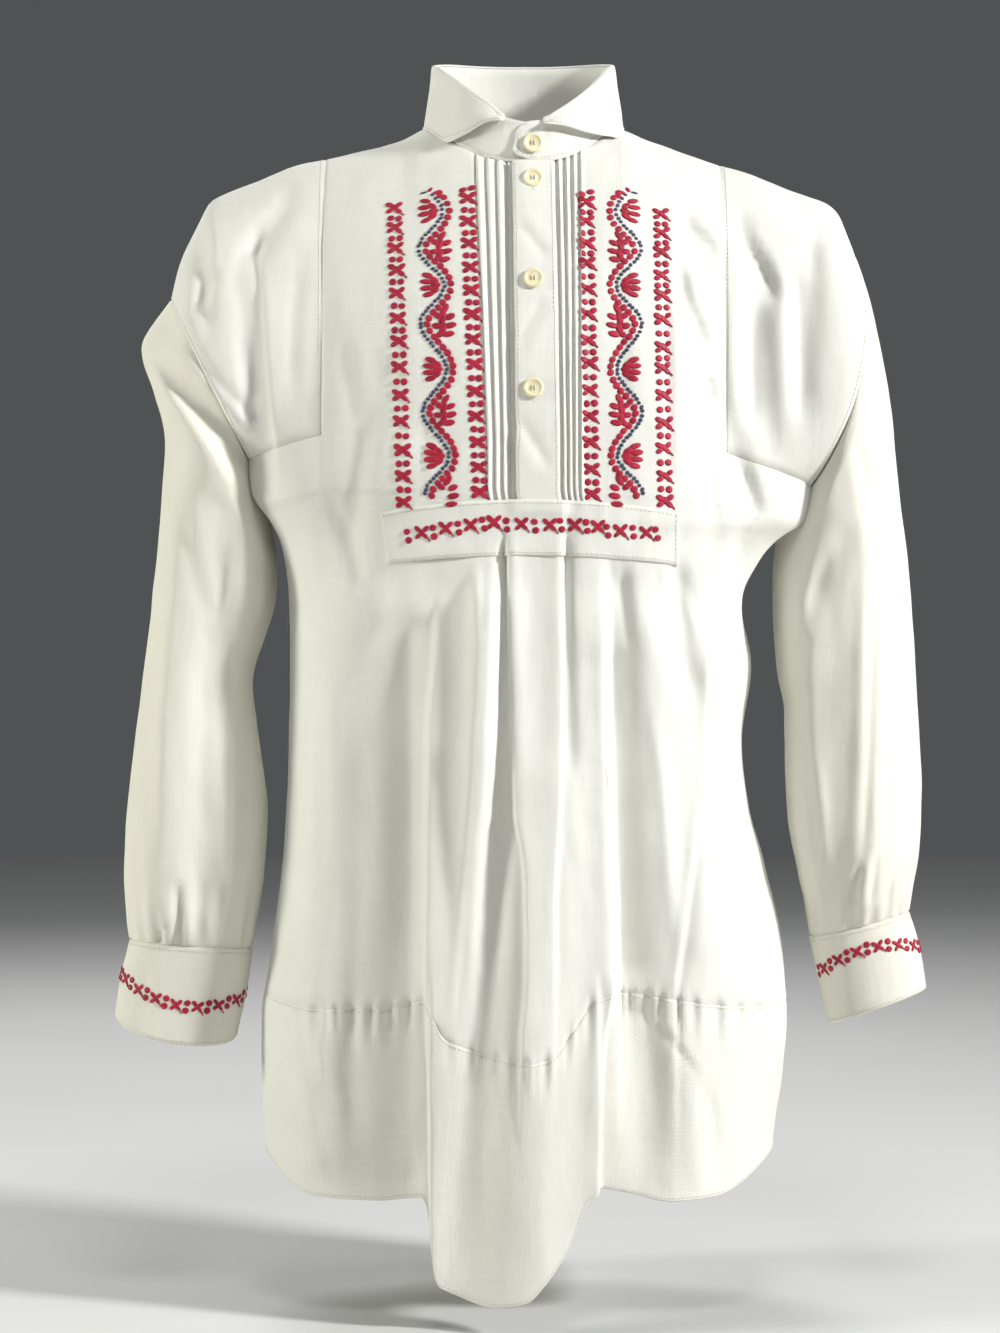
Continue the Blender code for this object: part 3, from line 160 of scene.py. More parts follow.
FRONT_FOLDS = millimetres(
    FOLD_NAMES,
    # the two pleats let out under the breast band, and what stands between them
    (-14, -338, -18, -515, 4, 10, 3, 14, 0),
    (-19, -545, -42, -900, 12, 25, 16, 4, -0.10),
    (30, -338, 34, -480, 4, 6, 3, 3, 0),
    (20, -500, 7, -900, 16, 20, -4, -5, 0),
    # plus side of the body
    (56, -420, 56, -900, 28, 34, 6, 15, 0),
    (65, -362, 73, -640, 10, 17, 11, 10, 0.5),
    (86, -680, 90, -810, 21, 20, 11, 5, 0.2),
    (114, -362, 124, -430, 9, 11, 10, 6, 0),
    (150, -420, 134, -620, 12, 14, -3, -4, 0),
    # minus side of the body
    (-88, -400, -88, -800, 20, 29, 8, 14, -0.45),
    (-66, -362, -64, -600, 22, 22, 4, 1, 0),
    (-32, -372, -40, -700, 15, 20, -11, 0, 0.4),
    (-56, -500, -60, -900, 26, 33, 4, 13, 0),
    (-146, -450, -158, -780, 18, 22, -4, -7, 0),
    # breast and underarm
    (-112, -200, -126, -340, 18, 24, 3, 4, 0),
    (132, -160, 166, -330, 9, 12, 3, 4, 0.3),
    (124, -80, 142, -140, 8, 8, 3, 3, 0.2),
    (158, -255, 186, -310, 8, 8, 3, 2, 0.2),
    # shoulder pieces
    (-202, -105, -197, -235, 8, 10, 4, 4, 0),
    (-246, -105, -240, -150, 7, 7, 4, 3, 0),
    (-182, -65, -226, -122, 8, 9, 4, 4, 0),
    (178, -135, 184, -235, 8, 10, 4, 4, 0),
    (220, -108, 214, -215, 8, 9, 4, 3, 0),
    (166, -85, 192, -125, 8, 8, 3, 3, 0),
    # sleeves
    (-284, -180, -204, -280, 10, 11, 6, 5, 0.3),
    (-232, -300, -240, -590, 14, 16, 6, 8, -0.3),
    (-276, -300, -282, -600, 16, 16, -4, -4, 0),
    (240, -325, 214, -395, 11, 11, 3, 2, 0),
    (284, -250, 290, -570, 9, 9, 5, 3, 0.3),
    (267, -230, 262, -590, 11, 12, -3, -4, 0),
    (212, -380, 216, -590, 15, 15, -10, -11, 0),
    plain=("lean",),
)
BACK_FOLDS = millimetres(
    FOLD_NAMES,
    (-85, -190, -70, -420, 20, 22, 3, 5, 0),
    (-110, -400, -125, -820, 18, 26, 5, 10, 0.3),
    (10, -360, 4, -820, 14, 26, 3, 9, -0.2),
    (95, -330, 108, -820, 18, 24, 4, 11, -0.3),
    (-55, -470, -58, -820, 20, 24, -3, -6, 0),
    (58, -440, 54, -820, 20, 24, -3, -7, 0),
    (-150, -140, -184, -260, 10, 12, 4, 4, 0),
    (150, -150, 184, -280, 10, 12, 4, 4, 0),
    (-250, -230, -252, -560, 12, 13, 5, 6, 0.2),
    (-280, -390, -226, -450, 9, 9, 4, 3, 0),
    (246, -240, 252, -570, 12, 13, 5, 6, -0.2),
    (290, -400, 232, -460, 9, 9, 4, 3, 0),
    plain=("lean",),
)

# Finer creases of the front, placed in the photograph's frame: from, to, half width and bend in
# pixels, depth in millimetres (below 0 a ridge). The small ridge beside each is on its +X side
# where beside is 1, on its -X side where it is -1.
CREASE_NAMES = "x_from y_from x_to y_to wide bend deep beside"
FRONT_CREASES = table(
    CREASE_NAMES,
    # between and beside the pleats
    (472, 690, 446, 1050, 4.5, 4, -0.6, 1),
    (452, 600, 430, 1040, 12.0, 6, 0.6, -1),
    (652, 700, 672, 940, 8.0, 4, -1.2, 1),
    (650, 1020, 700, 1078, 3.5, 2, 1.0, 1),
    # minus side
    (412, 560, 400, 1000, 18.0, 5, 1.2, -1),
    (362, 640, 350, 1170, 20.0, -8, 1.9, 1),
    (322, 720, 316, 1000, 12.0, 4, 1.0, 1),
    (430, 1010, 424, 1190, 10.0, 3, 1.6, -1),
    (345, 1010, 356, 1150, 13.0, -4, 0.7, 1),
    (300, 1010, 330, 1130, 9.0, -3, 1.1, 1),
    # plus side and tail
    (640, 1010, 645, 1185, 22.0, 2, 1.3, 1),
    (655, 1000, 658, 1150, 9.0, -3, 0.6, 1),
    (705, 1080, 716, 1190, 9.0, 3, 1.2, -1),
    (735, 740, 724, 930, 9.0, -3, 1.0, 1),
    (742, 520, 722, 640, 8.0, 4, 1.1, 1),
    # breast
    (372, 395, 352, 560, 11.0, -5, 1.3, 1),
    (340, 330, 352, 440, 9.0, 4, 0.9, 1),
    (424, 420, 410, 505, 8.0, 3, 0.7, -1),
    (676, 222, 722, 256, 6.0, 1, 2.4, 1),
    (677, 265, 706, 348, 7.0, -4, 2.6, 1),
    (683, 350, 716, 405, 6.0, 1, 2.2, 1),
    (698, 390, 718, 560, 9.0, 3, 2.0, 1),
    (738, 462, 757, 522, 7.0, 2, 2.4, 1),
    (664, 250, 668, 500, 5.0, 2, 0.7, 1),
    (640, 565, 700, 700, 10.0, -5, 1.0, 1),
    (672, 560, 712, 640, 6.0, 3, 0.9, -1),
    (322, 480, 366, 600, 8.0, 5, 1.0, -1),
    (612, 250, 622, 430, 9.0, 3, 0.6, 1),
    (516, 222, 548, 262, 6.0, 1, 0.9, 1),
    (547, 296, 516, 350, 7.0, -1, 0.9, 1),
    (517, 416, 549, 470, 7.0, 1, 0.9, -1),
    # under the breast band
    (400, 566, 392, 640, 9.0, 1, 0.4, 1),
    (484, 560, 480, 640, 5.0, 1, 0.9, -1),
    (622, 562, 634, 660, 6.0, -2, 1.1, -1),
    (655, 562, 668, 640, 5.0, -1, 0.9, 1),
    # shoulder pieces
    (240, 262, 250, 440, 11.0, 0, 2.8, 1),
    (207, 265, 202, 330, 9.0, -2, 1.3, -1),
    (290, 200, 222, 285, 13.0, 2, 1.6, 1),
    (300, 255, 292, 400, 7.0, -3, 1.0, 1),
    (230, 240, 182, 330, 6.0, 3, 1.1, 1),
    (752, 300, 755, 430, 9.0, -3, 3.2, -1),
    (795, 250, 799, 425, 9.0, 2, 2.6, -1),
    (738, 236, 780, 305, 7.0, 2, 2.6, 1),
    # minus sleeve
    (150, 352, 262, 484, 12.0, 5, 2.6, -1),
    (176, 330, 268, 430, 6.0, -4, 1.2, -1),
    (232, 500, 216, 620, 7.0, 3, 1.3, 1),
    (180, 500, 206, 620, 8.0, -3, 1.1, 1),
    (232, 600, 228, 900, 7.0, -4, 1.5, -1),
    (148, 560, 152, 880, 9.0, -3, 1.4, 1),
    (246, 660, 240, 880, 7.0, 3, 1.3, 1),
    (176, 880, 180, 944, 3.5, 1, 1.5, 1),
    (166, 925, 158, 944, 3.0, 0, 1.5, 1),
    (200, 870, 197, 944, 5.0, 1, 1.2, -1),
    (222, 880, 216, 944, 5.0, -1, 1.2, 1),
    # plus sleeve
    (833, 546, 806, 636, 7.0, -3, 1.0, -1),
    (806, 636, 793, 668, 6.0, 1, 0.9, -1),
    (793, 664, 799, 752, 7.0, -3, 0.9, 1),
    (799, 745, 816, 874, 6.0, 3, 1.4, 1),
    (872, 560, 862, 890, 5.5, 3, 1.8, -1),
    (893, 600, 886, 880, 7.0, -3, 1.2, 1),
    (860, 862, 850, 908, 4.0, 1, 1.7, 1),
    (876, 850, 868, 906, 4.0, 1, 1.4, -1),
    (896, 850, 884, 904, 4.0, 1, 1.3, 1),
    (858, 440, 876, 560, 7.0, 4, 1.2, -1),
)

# Crisp edges where one layer of the front stands over the next, as lines down the photograph's frame
EDGE_LINES = table(
    "edge across down",
    (0, 507, 556), (0, 508, 640), (0, 510, 700), (0, 513, 809), (0, 524, 870),
    (0, 525, 967), (0, 520, 1051),
    (1, 564, 556), (1, 563, 640), (1, 563, 700), (1, 561, 800), (1, 556, 900),
    (2, 611, 640), (2, 611, 700), (2, 613, 821), (2, 619, 906), (2, 621, 1000),
    (3, 430, 1000), (3, 428, 1100), (3, 431, 1262),
    (4, 599, 1000), (4, 601, 1100), (4, 600, 1200),
    (5, 712, 630), (5, 706, 760), (5, 690, 890), (5, 677, 985),
    (6, 260, 262), (6, 264, 320), (6, 268, 380), (6, 274, 440),
)
# How far the edge stands out, how far the cloth before it sinks (mm), their reach in pixels, the side
# that stands (1 for +X), and the run over which each end dies away
EDGE_SIZES = table(
    "stands sinks reach_up reach_down side fade",
    (3.4, 3.8, 15, 12, 1, 60),
    (2.4, 2.2, 14, 10, -1, 110),
    (2.2, 2.4, 12, 15, -1, 90),
    (1.5, 1.5, 12, 10, 1, 60),
    (1.6, 1.2, 12, 9, -1, 60),
    (1.8, 2.0, 9, 8, -1, 110),
    (1.2, 1.0, 8, 10, 1, 40),
)
EDGE_SHARPNESS = 1.7
EDGE_TOP_FADE = 0.3
CREASE_STRENGTH = 1.7

# Finer creases of the hidden back, the same way, but across and down in millimetres from the neck
BACK_CREASES = table(
    CREASE_NAMES,
    (-20, 60, -46, 210, 8, 5, 0.9, 1),
    (28, 70, 52, 230, 8, -5, 0.9, -1),
    (-100, 120, -88, 300, 9, 6, 1.2, 1),
    (96, 130, 110, 310, 9, -5, 1.2, -1),
    (-150, 170, -120, 330, 7, 4, 1.3, 1),
    (148, 160, 126, 350, 7, -4, 1.3, -1),
    (-170, 330, -120, 420, 7, 3, 1.3, 1),
    (172, 350, 118, 440, 7, 3, 1.2, -1),
    (-40, 330, -32, 560, 8, 5, 1.1, 1),
    (36, 360, 30, 600, 8, -5, 1.2, -1),
    (-84, 450, -90, 670, 8, 4, 1.5, 1),
    (80, 440, 86, 665, 8, 5, 1.5, -1),
    (-140, 480, -152, 670, 8, -4, 1.2, 1),
    (142, 500, 150, 672, 8, 4, 1.2, -1),
    (8, 600, 12, 815, 7, 3, 1.4, 1),
    (-62, 700, -66, 815, 8, 3, 1.2, -1),
    (60, 700, 66, 812, 8, -3, 1.2, 1),
    (-122, 700, -128, 800, 8, 3, 1.2, 1),
    (126, 700, 132, 800, 8, -3, 1.2, -1),
    (-196, 100, -204, 240, 6, 3, 1.2, 1),
    (198, 110, 206, 250, 6, 3, 1.2, -1),
    (-262, 190, -214, 300, 8, 4, 1.7, 1),
    (262, 190, 220, 310, 8, 4, 1.7, -1),
    (-246, 380, -240, 600, 8, 5, 1.4, 1),
    (250, 380, 248, 590, 8, -5, 1.4, -1),
    (-282, 340, -276, 560, 7, 4, 1.1, -1),
    (288, 340, 284, 560, 7, -4, 1.1, 1),
    (-222, 470, -226, 620, 6, 3, 1.1, 1),
    (228, 470, 232, 600, 6, 3, 1.1, -1),
)
# The small ridge beside a crease: its height's share, its distance and its width in the crease's widths
SIDE_RIDGE_SHARE = 0.45
SIDE_RIDGE_AWAY = 1.9
SIDE_RIDGE_WIDTH = 1.1
# How a crease dies away towards its ends, in shares of its length
CREASE_END = 0.3
CREASE_END_START = 0.15

# Gathers just under the band's seam: place, half width and length in pixels, depth in millimetres
GATHERS = table(
    "px wide deep length",
    (300, 4, 1.2, 22), (317, 5, 1.6, 26), (334, 4, 1.3, 20), (352, 6, 1.8, 30), (371, 4, 1.4, 24),
    (389, 5, 1.7, 28), (408, 4, 1.2, 22), (425, 4, 1.5, 26), (447, 5, 1.0, 18), (470, 4, 0.9, 18),
    (499, 5, 1.2, 24), (524, 4, 1.6, 28), (545, 4, 1.3, 24), (567, 4, 1.0, 20), (589, 5, 1.6, 30),
    (618, 4, 1.5, 28), (630, 3, 1.2, 24), (647, 4, 1.6, 30), (661, 3, 1.2, 22), (676, 4, 1.7, 30),
    (694, 4, 1.5, 26), (717, 5, 1.7, 30), (738, 4, 1.3, 24), (756, 4, 1.2, 22),
)
GATHER_STRENGTH = 1.5
GATHER_BACK_MIRROR = 1035
GATHER_ABOVE_SEAM = 0.005
GATHER_RIDGE_SHARE = 0.6
GATHER_RIDGE_AWAY = 1.8
GATHER_RIDGE_WIDTH = 0.8

# Sleeves and cuffs
RING_NAMES = "outer_x outer_z inner_x inner_z depth y_centre bow"
ARMHOLES = millimetres(RING_NAMES, (274, -132, 200, -281, 78, 0, 0), (257, -98, 199, -307, 78, 0, 26))
SLEEVE_MINUS = millimetres(
    RING_NAMES,
    (274, -132, 200, -281, 78, 0, 0), (297, -170, 197.5, -297, 77, 0, 0),
    (287, -205, 194.5, -318, 74, 0, 0), (279, -243, 191.5, -340, 71, -1, 0),
    (283, -303, 193, -366, 68, -1, 0), (288, -360, 201, -394, 65, -2, 0),
    (293, -410, 211, -430, 62, -3, 0), (301, -475, 206, -472, 60, -5, 0),
    (308, -537, 199, -530, 57, -8, 0), (310, -580, 201, -575, 52, -10, 0),
    (307, -612, 207, -615, 43, -12, 0), (304.5, -629, 210.5, -636, 34, -13, 0),
)
SLEEVE_PLUS = millimetres(
    RING_NAMES,
    (257, -98, 199, -307, 78, 0, 26), (272, -145, 197, -325, 76, 0, 16),
    (284, -200, 195, -350, 73, 0, 4), (291, -262, 196, -385, 70, -1, 0),
    (297, -320, 199, -425, 67, -1, 0), (302, -375, 204, -455, 64, -2, 0),
    (307, -440, 204, -490, 61, -3, 0), (310, -510, 206, -535, 58, -6, 0),
    (307, -565, 213, -575, 52, -9, 0), (302, -592, 219, -607, 43, -11, 0),
    (298.5, -607, 222.5, -627, 35, -12, 0),
)
CUFF_MINUS = millimetres(
    RING_NAMES,
    (304.5, -629, 210.5, -636, 34, -13, 0), (312, -660, 215, -668, 33, -13, 0),
    (316, -688, 223, -704, 34, -14, 0),
)
CUFF_PLUS = millimetres(
    RING_NAMES,
    (298.5, -607, 222.5, -627, 35, -12, 0), (307, -637, 230, -661, 34, -12, 0),
    (312, -667, 237, -694, 36, -13, 0),
)
CUFF_FRONT_DROP = {-1: 0.010, 1: -0.002}
CUFF_PROUD = 0.0007
SLIT_FROM = 0.8125
SLIT_WIDENS_OVER = 0.05
SLIT_HALF_ANGLE = math.radians(3.5)
CUFF_GATHERS = 17
CUFF_GATHER_DEPTH = 0.0016
CUFF_GATHERS_FROM = 0.80
CUFF_GATHERS_GROW_OVER = 0.14
CUFF_GATHERS_END_OVER = 0.012
CUFF_EDGE = 0.0018
CUFF_EDGE_START = 0.25

# Collar
COLLAR = millimetres(
    "angle fold_minus fold_plus leaf_minus leaf_plus",
    (0, -5, -5, 2, 2), (12, -1, -3.5, 3, 3), (22, 9, 3.5, 14, 11), (33, 18, 12.5, 30, 23),
    (47, 29, 24, 46, 36), (57, 35.5, 32.5, 53, 44), (70, 42.5, 42, 53, 54),
    (90, 48.5, 49, 51, 51), (135, 55, 55, 50, 50), (180, 56, 56, 50, 50),
    plain=("angle",),
)
# The angle where the leaf flares most, the flare's half width, and how much it adds
LEAF_FLARE = (60.0, 18.0, 0.45)
FOLD_HALF_WIDTH = 0.0690
FOLD_FRONT = 0.073
FOLD_BACK = 0.047
NECK_PLAN = (NECK_HALF_WIDTH, NECK_FRONT, NECK_BACK)
FOLD_PLAN = (FOLD_HALF_WIDTH, FOLD_FRONT, FOLD_BACK)
LEAF_START = 12
UNDER_END = 16
OVER_END = -5.5
OVERLAP_STEP = 0.0026
STAND_LEAN_POWER = 0.55
STAND_INSET = 0.0006
STAND_TUCKED_IN = 0.0014
TAB_ROUNDING = 0.014
TAB_LOW_SHARE = 0.75
TAB_ROUNDING_MOST = 0.9 * TAB_ROUNDING
# Angles about the neck, in degrees: where the stand and the leaf begin to lap over, and the tab begins
STAND_LAP_FROM = -305
LEAF_LAP_FROM = 55
LAP_TURN = 35
# A small step of the angle about the neck, in radians
ANGLE_STEP = 0.01
TAB_FROM = -340
# How far the leaf keeps from the body, and how much of it its roll takes
LEAF_CLEAR = 0.0022
LEAF_ROLL = 0.0015
LEAF_PROFILE = table(
    "out drop share",
    (-0.0008, 0.0020, 0.0), (0.0010, 0.0024, 0.0), (0.0024, 0.0008, 0.0), (0.0028, -0.0015, 0.0),
    (0.0040, -0.0015, 0.25), (0.0066, -0.0015, 0.6), (0.0092, -0.0015, 1.0),
)

# Placket, tucks and breast band
PLACKET_X = (-0.0058, 0.0262)
PLACKET_Z = (-0.0360, -0.2985)
PLACKET_UNDER_INSET = 0.002
TUCKS = (-0.0270, -0.0212, -0.0155, -0.0100, 0.0290, 0.0334, 0.0377, 0.0420)
# A tuck's section: distance from its line (mm, towards -X) and height (mm)
TUCK_SECTION = table(
    "away rise",
    (-2.6, 0.0), (-1.9, 0.8), (-1.0, 1.6), (-0.35, 1.3), (0.1, -1.0), (0.7, -1.8),
    (1.4, -1.4), (2.2, 0.0),
)
# The trough beside the placket: its middle, half width and depth
PLACKET_TROUGH = (-0.0084, 0.0026, 0.0040)
TROUGH_FADE = 0.03
TUCK_FADE = 0.006
TUCK_END_UNDER_BAND = 0.004
SLIT_X = (0.0082, 0.0122)
SLIT_LOW_Z = -0.300
BAND_X = (-0.107, 0.1155)
BAND_LOW_X = (-0.1015, 0.1155)
BAND_MIDDLE = 0.004
BAND_TOP = -0.294
BAND_LOW = -0.335
BAND_SAG = (0.0092, 0.0063)
BAND_LIFT = 0.0014
# The step where the band passes over the placket: its height, its run, and how far below it begins
BAND_STEP = 0.0024
BAND_STEP_RUN = 0.010
BAND_STEP_BELOW = 0.012
# The band's small ripples: height, then waves in a metre and their stretch along Z
BAND_RIPPLE = 0.0005
BAND_RIPPLES = (95, 0.25)
UNDER_LIFT = 0.0004 + CLOTH
OVER_LIFT = 0.0007 + 2 * CLOTH

# The cut of each cloth piece as it shows, all round on a tube, in metres and square metres (no area
# where it is a rectangle), how it is held, and what it hangs from or lies on
Cut = namedtuple("Cut", "node width length area held rests_on")
CUTS = {
    "front": Cut("front", 0.620, 0.700, 0.320, "draped", ("shoulder_minus", "shoulder_plus")),
    "back": Cut("back", 0.560, 0.710, 0.300, "draped", ("shoulder_minus", "shoulder_plus")),
    "tail_front": Cut("tail_front", 0.660, 0.170, 0.088, "gathered", ("front",)),
    "tail_back": Cut("tail_back", 0.555, 0.150, 0.075, "gathered", ("back",)),
    "shoulder_minus": Cut("shoulder_right", 0.140, 0.490, 0.057, "draped", ()),
    "shoulder_plus": Cut("shoulder_left", 0.135, 0.500, 0.057, "draped", ()),
    "sleeve_minus": Cut("sleeve_right", 0.430, 0.500, 0.152, "draped", ("shoulder_minus",)),
    "sleeve_plus": Cut("sleeve_left", 0.460, 0.500, 0.147, "draped", ("shoulder_plus",)),
    "cuff_minus": Cut("cuff_right", 0.260, 0.075, 0.0175, "folded", ("sleeve_minus",)),
    "cuff_plus": Cut("cuff_left", 0.235, 0.070, 0.0150, "folded", ("sleeve_plus",)),
    "stand": Cut("collar_stand", 0.465, 0.060, 0.021, "folded", ("front", "back")),
    "leaf": Cut("collar_leaf", 0.420, 0.056, 0.020, "folded", ("stand",)),
    "placket_under": Cut("placket_under", 0.028, 0.272, None, "laid", ("front",)),
    "placket_over": Cut("placket_over", 0.032, 0.272, None, "laid", ("placket_under",)),
    "band": Cut("bib_band", 0.229, 0.041, None, "laid", ("front", "placket_over")),
}

# Grid steps
COLUMN_STEP = 0.0027
ROW_STEP = 0.0058
MIDDLE_STEP = 0.0016
MIDDLE_X = (-0.066, 0.066)
OUTSIDE_STEPS = 34
TUCK_LINES = (0.0004, 0.0009, 0.0014, 0.0020)


def smooth(at, keys, values):
    """Monotone cubic curve through a table's columns."""
    at = np.asarray(at, float)
    step = np.diff(keys)
    rise = np.diff(values) / step
    slope = np.empty_like(values)
    slope[0] = rise[0]
    slope[-1] = rise[-1]
    product = rise[:-1] * rise[1:]
    total = rise[:-1] + rise[1:]
    slope[1:-1] = np.where(product > 0, 2 * product / np.where(total == 0, 1, total), 0)
    i = np.clip(np.searchsorted(keys, at) - 1, 0, len(keys) - 2)
    u = np.clip((at - keys[i]) / step[i], 0, 1)
    start = values[i] * (1 + 2 * u) * (1 - u) ** 2 + slope[i] * step[i] * u * (1 - u) ** 2
    end = values[i + 1] * u * u * (3 - 2 * u) + slope[i + 1] * step[i] * u * u * (u - 1)
    return start + end


def ease(u):
    """0 below 0, 1 above 1, and a soft S between."""
    u = np.clip(u, 0, 1)
    return u * u * (3 - 2 * u)


def unit(vectors):
    """The same directions at length 1."""
    return vectors / np.maximum(np.linalg.norm(vectors, axis=-1, keepdims=True), 1e-12)


def angle_of(x):
    """The column angle whose place on the breast is x."""
    share = np.clip(np.abs(x) / CHEST_HALF_WIDTH, 0, 1)
    return np.sign(x) * np.arcsin(share ** (1 / SECTION_POWER))


SEAM_ANGLE = float(angle_of(SHOULDER_SEAM_X))


def across_share(angle):
    """How far out a column of the body's tube stands, from -1 to 1."""
    return np.sign(np.sin(angle)) * np.abs(np.sin(angle)) ** SECTION_POWER


def torso(angle, z, face):
    """A point of the body's tube; face is -1 for the front and 1 for the back."""
    names = ("x_minus", "x_plus", "y_front" if face < 0 else "y_back")
    x_minus, x_plus, depth = (smooth(-z, -TORSO["z"], TORSO[name]) for name in names)
    forward = np.clip(np.cos(angle), 0, 1) ** SECTION_POWER
    x = (x_minus + x_plus) / 2 + (x_plus - x_minus) / 2 * across_share(angle)
    y = depth * forward
    if face < 0:
        x, y = stand_forward(x, y, z)
    return np.stack(np.broadcast_arrays(x, y, z), axis=-1)


def stand_forward(x, y, z):
    """Brings the middle of the front forward, with steep edges."""
    down = -STANDING_PART["z"]
    names = ("x_minus", "x_plus", "forward")
    edge_minus, edge_plus, forward = (smooth(-z, down, STANDING_PART[name]) for name in names)
    inside = ease((x - edge_minus) / STANDING_EDGE + 0.5) * ease((edge_plus - x) / STANDING_EDGE + 0.5)
    share = forward / STANDING_PART["forward"].max()
    for edge in (edge_minus, edge_plus):
        away = x - edge
        x = x - EDGE_PULL * share * away * np.exp(-(away / EDGE_PULL_REACH) ** 2)
    return x, y - forward * inside


def of_its_side(on_minus, at, rows, key, name):
    """A table's value where a place lies, from the column for its own side."""
    minus, plus = (smooth(at, rows[key], rows[name + end]) for end in ("_minus", "_plus"))
    return np.where(on_minus, minus, plus)


def chest_z(angle):
    """Height of the line between the straight body and what lies above it."""
    return of_its_side(angle < 0, np.degrees(np.abs(angle)), CHEST_LINE, "angle", "z")


def ridge_z(x):
    """Height of the shoulders' top."""
    return of_its_side(x < 0, np.abs(x), RIDGE, "x", "z")


def ring_point(side, ring, turn):
    """A point of a ring: turn is 0 at the underarm and pi on the outside, through the front."""
    half_x = (ring["outer_x"] - ring["inner_x"]) / 2
    half_z = (ring["outer_z"] - ring["inner_z"]) / 2
    length = np.hypot(half_x, half_z)
    bow = ring["bow"] * np.sin(turn) ** 2
    x = (ring["outer_x"] + ring["inner_x"]) / 2 - half_x * np.cos(turn) + bow * half_z / length
    z = (ring["outer_z"] + ring["inner_z"]) / 2 - half_z * np.cos(turn) - bow * half_x / length
    y = ring["y_centre"] - ring["depth"] * np.sin(turn)
    return np.stack(np.broadcast_arrays(side * x, y, z), axis=-1)


def armhole(side, turn, face):
    """A point of the armhole seam, on the front for face -1 and on the back for face 1."""
    ring = {name: np.where(side < 0, *values) for name, values in ARMHOLES.items()}
    return ring_point(side, ring, -face * turn)


def side_of(angle):
    """1 on the +X side and -1 on the -X side."""
    return np.where(angle < 0, -1.0, 1.0)


def chest_point(angle, face):
    """A point of the line between the straight body and what lies above it."""
    side = side_of(angle)
    size = np.abs(angle)
    plain = torso(angle, chest_z(angle), face)
    turn = CORNER_TURN * np.clip((math.pi / 2 - size) / (math.pi / 2 - CORNER_ANGLE), 0, 1)
    under = armhole(side, turn, face)
    q = np.clip((size - SEAM_ANGLE) / (CORNER_ANGLE - SEAM_ANGLE), 0, 1)
    start = torso(side * SEAM_ANGLE, chest_z(side * SEAM_ANGLE), face)
    corner = armhole(side, CORNER_TURN + 0 * size, face)
    bulge = CHEST_BULGE * np.sin(math.pi * q)
    push = np.stack([side * BULGE_WAY[0] * bulge, face * BULGE_WAY[1] * bulge, 0 * bulge], axis=-1)
    between = start + (corner - start) * q[..., None] + push
    size = size[..., None]
    outside = np.where(size >= CORNER_ANGLE - SAME, under, between)
    return np.where(size <= SEAM_ANGLE + SAME, plain, outside)


def arch(angle, s, face):
    """A point over the breast and shoulder: s is 0 on the chest line and 1 on the shoulder's top."""
    angle, s = np.broadcast_arrays(np.asarray(angle, float), np.asarray(s, float))
    side = side_of(angle)
    base = chest_point(angle, face)
    q = np.clip((np.abs(angle) - SEAM_ANGLE) / (CORNER_ANGLE - SEAM_ANGLE), 0, 1)
    hole_x = np.where(side < 0, *ARMHOLES["outer_x"])
    outside = side * (SHOULDER_SEAM_X + (hole_x - SHOULDER_SEAM_X) * np.sin(q * math.pi / 2))
    top_x = np.where(q > 0, outside, np.interp(base[..., 0], FAN["x_breast"], FAN["x_shoulder"]))
    top = np.stack([top_x, 0 * top_x, ridge_z(top_x)], axis=-1)
    body = base + (top - base) * np.sin(math.pi / 2 * s)[..., None]
    body[..., 1] = base[..., 1] * np.cos(math.pi / 2 * s)
    first = armhole(side, CORNER_TURN + 0 * s, face)
    last = armhole(side, math.pi + 0 * s, face)
    loop = armhole(side, CORNER_TURN + (math.pi - CORNER_TURN) * s, face)
    arm = loop + (base - first) * (1 - s)[..., None] + (top - last) * s[..., None]
    turn = ease(q)[..., None]
    return body * (1 - turn) + arm * turn


def neck_height(angle, face):
    """The arch height s at which a column meets the neck opening, or 1 outside it."""
    reach = NECK_FRONT if face < 0 else NECK_BACK
    depth = np.maximum(np.abs(arch(angle, 0 * angle, face)[..., 1]), 1e-4)
    s = np.ones_like(angle)
    for _ in range(NECK_ROUNDS):
        share = np.clip(np.abs(arch(angle, s, face)[..., 0]) / NECK_HALF_WIDTH, 0, 1)
        s = np.arccos(np.clip(reach * np.sqrt(1 - share ** 2) / depth, 0, 1)) / (math.pi / 2)
    return s


def seam_heights(angle, face):
    """Heights of the band seam and of the hem below a column."""
    rows = HEM_FRONT if face < 0 else HEM_BACK
    x_minus = TORSO["x_minus"][WIDEST_ROW]
    x_plus = TORSO["x_plus"][WIDEST_ROW]
    x = (x_minus + x_plus) / 2 + (x_plus - x_minus) / 2 * across_share(angle)
    return smooth(x, rows["x"], rows["z_seam"]), smooth(x, rows["x"], rows["z_hem"])


def body_point(angle, v, face):
    """A point of the upper body: v runs from 0 at the band seam to 1 on the chest line."""
    seam, _ = seam_heights(angle, face)
    top = chest_point(angle, face)
    flare = top - torso(angle, top[..., 2], face)
    opened = ease((v - FLARE_FROM) / (1 - FLARE_FROM))[..., None]
    return torso(angle, seam + (top[..., 2] - seam) * v, face) + flare * opened


def tail_point(angle, share, face):
    """A point of a lower band: share runs from 0 at its seam to 1 at the hem."""
    seam, hem = seam_heights(angle, face)
    return torso(angle, seam + (hem - seam) * share, face)


def front_at(x, z):
    """The front's point at a place on the breast that is given as seen from the front."""
    angle = angle_of(x)
    low = np.zeros_like(angle)
    high = np.ones_like(angle)
    for _ in range(HALVINGS):
        middle = (low + high) / 2
        under = arch(angle, middle, -1)[..., 2] < z
        low = np.where(under, middle, low)
        high = np.where(under, high, middle)
    straight = (z <= chest_z(angle))[..., None]
    return np.where(straight, torso(angle, z, -1), arch(angle, low, -1))


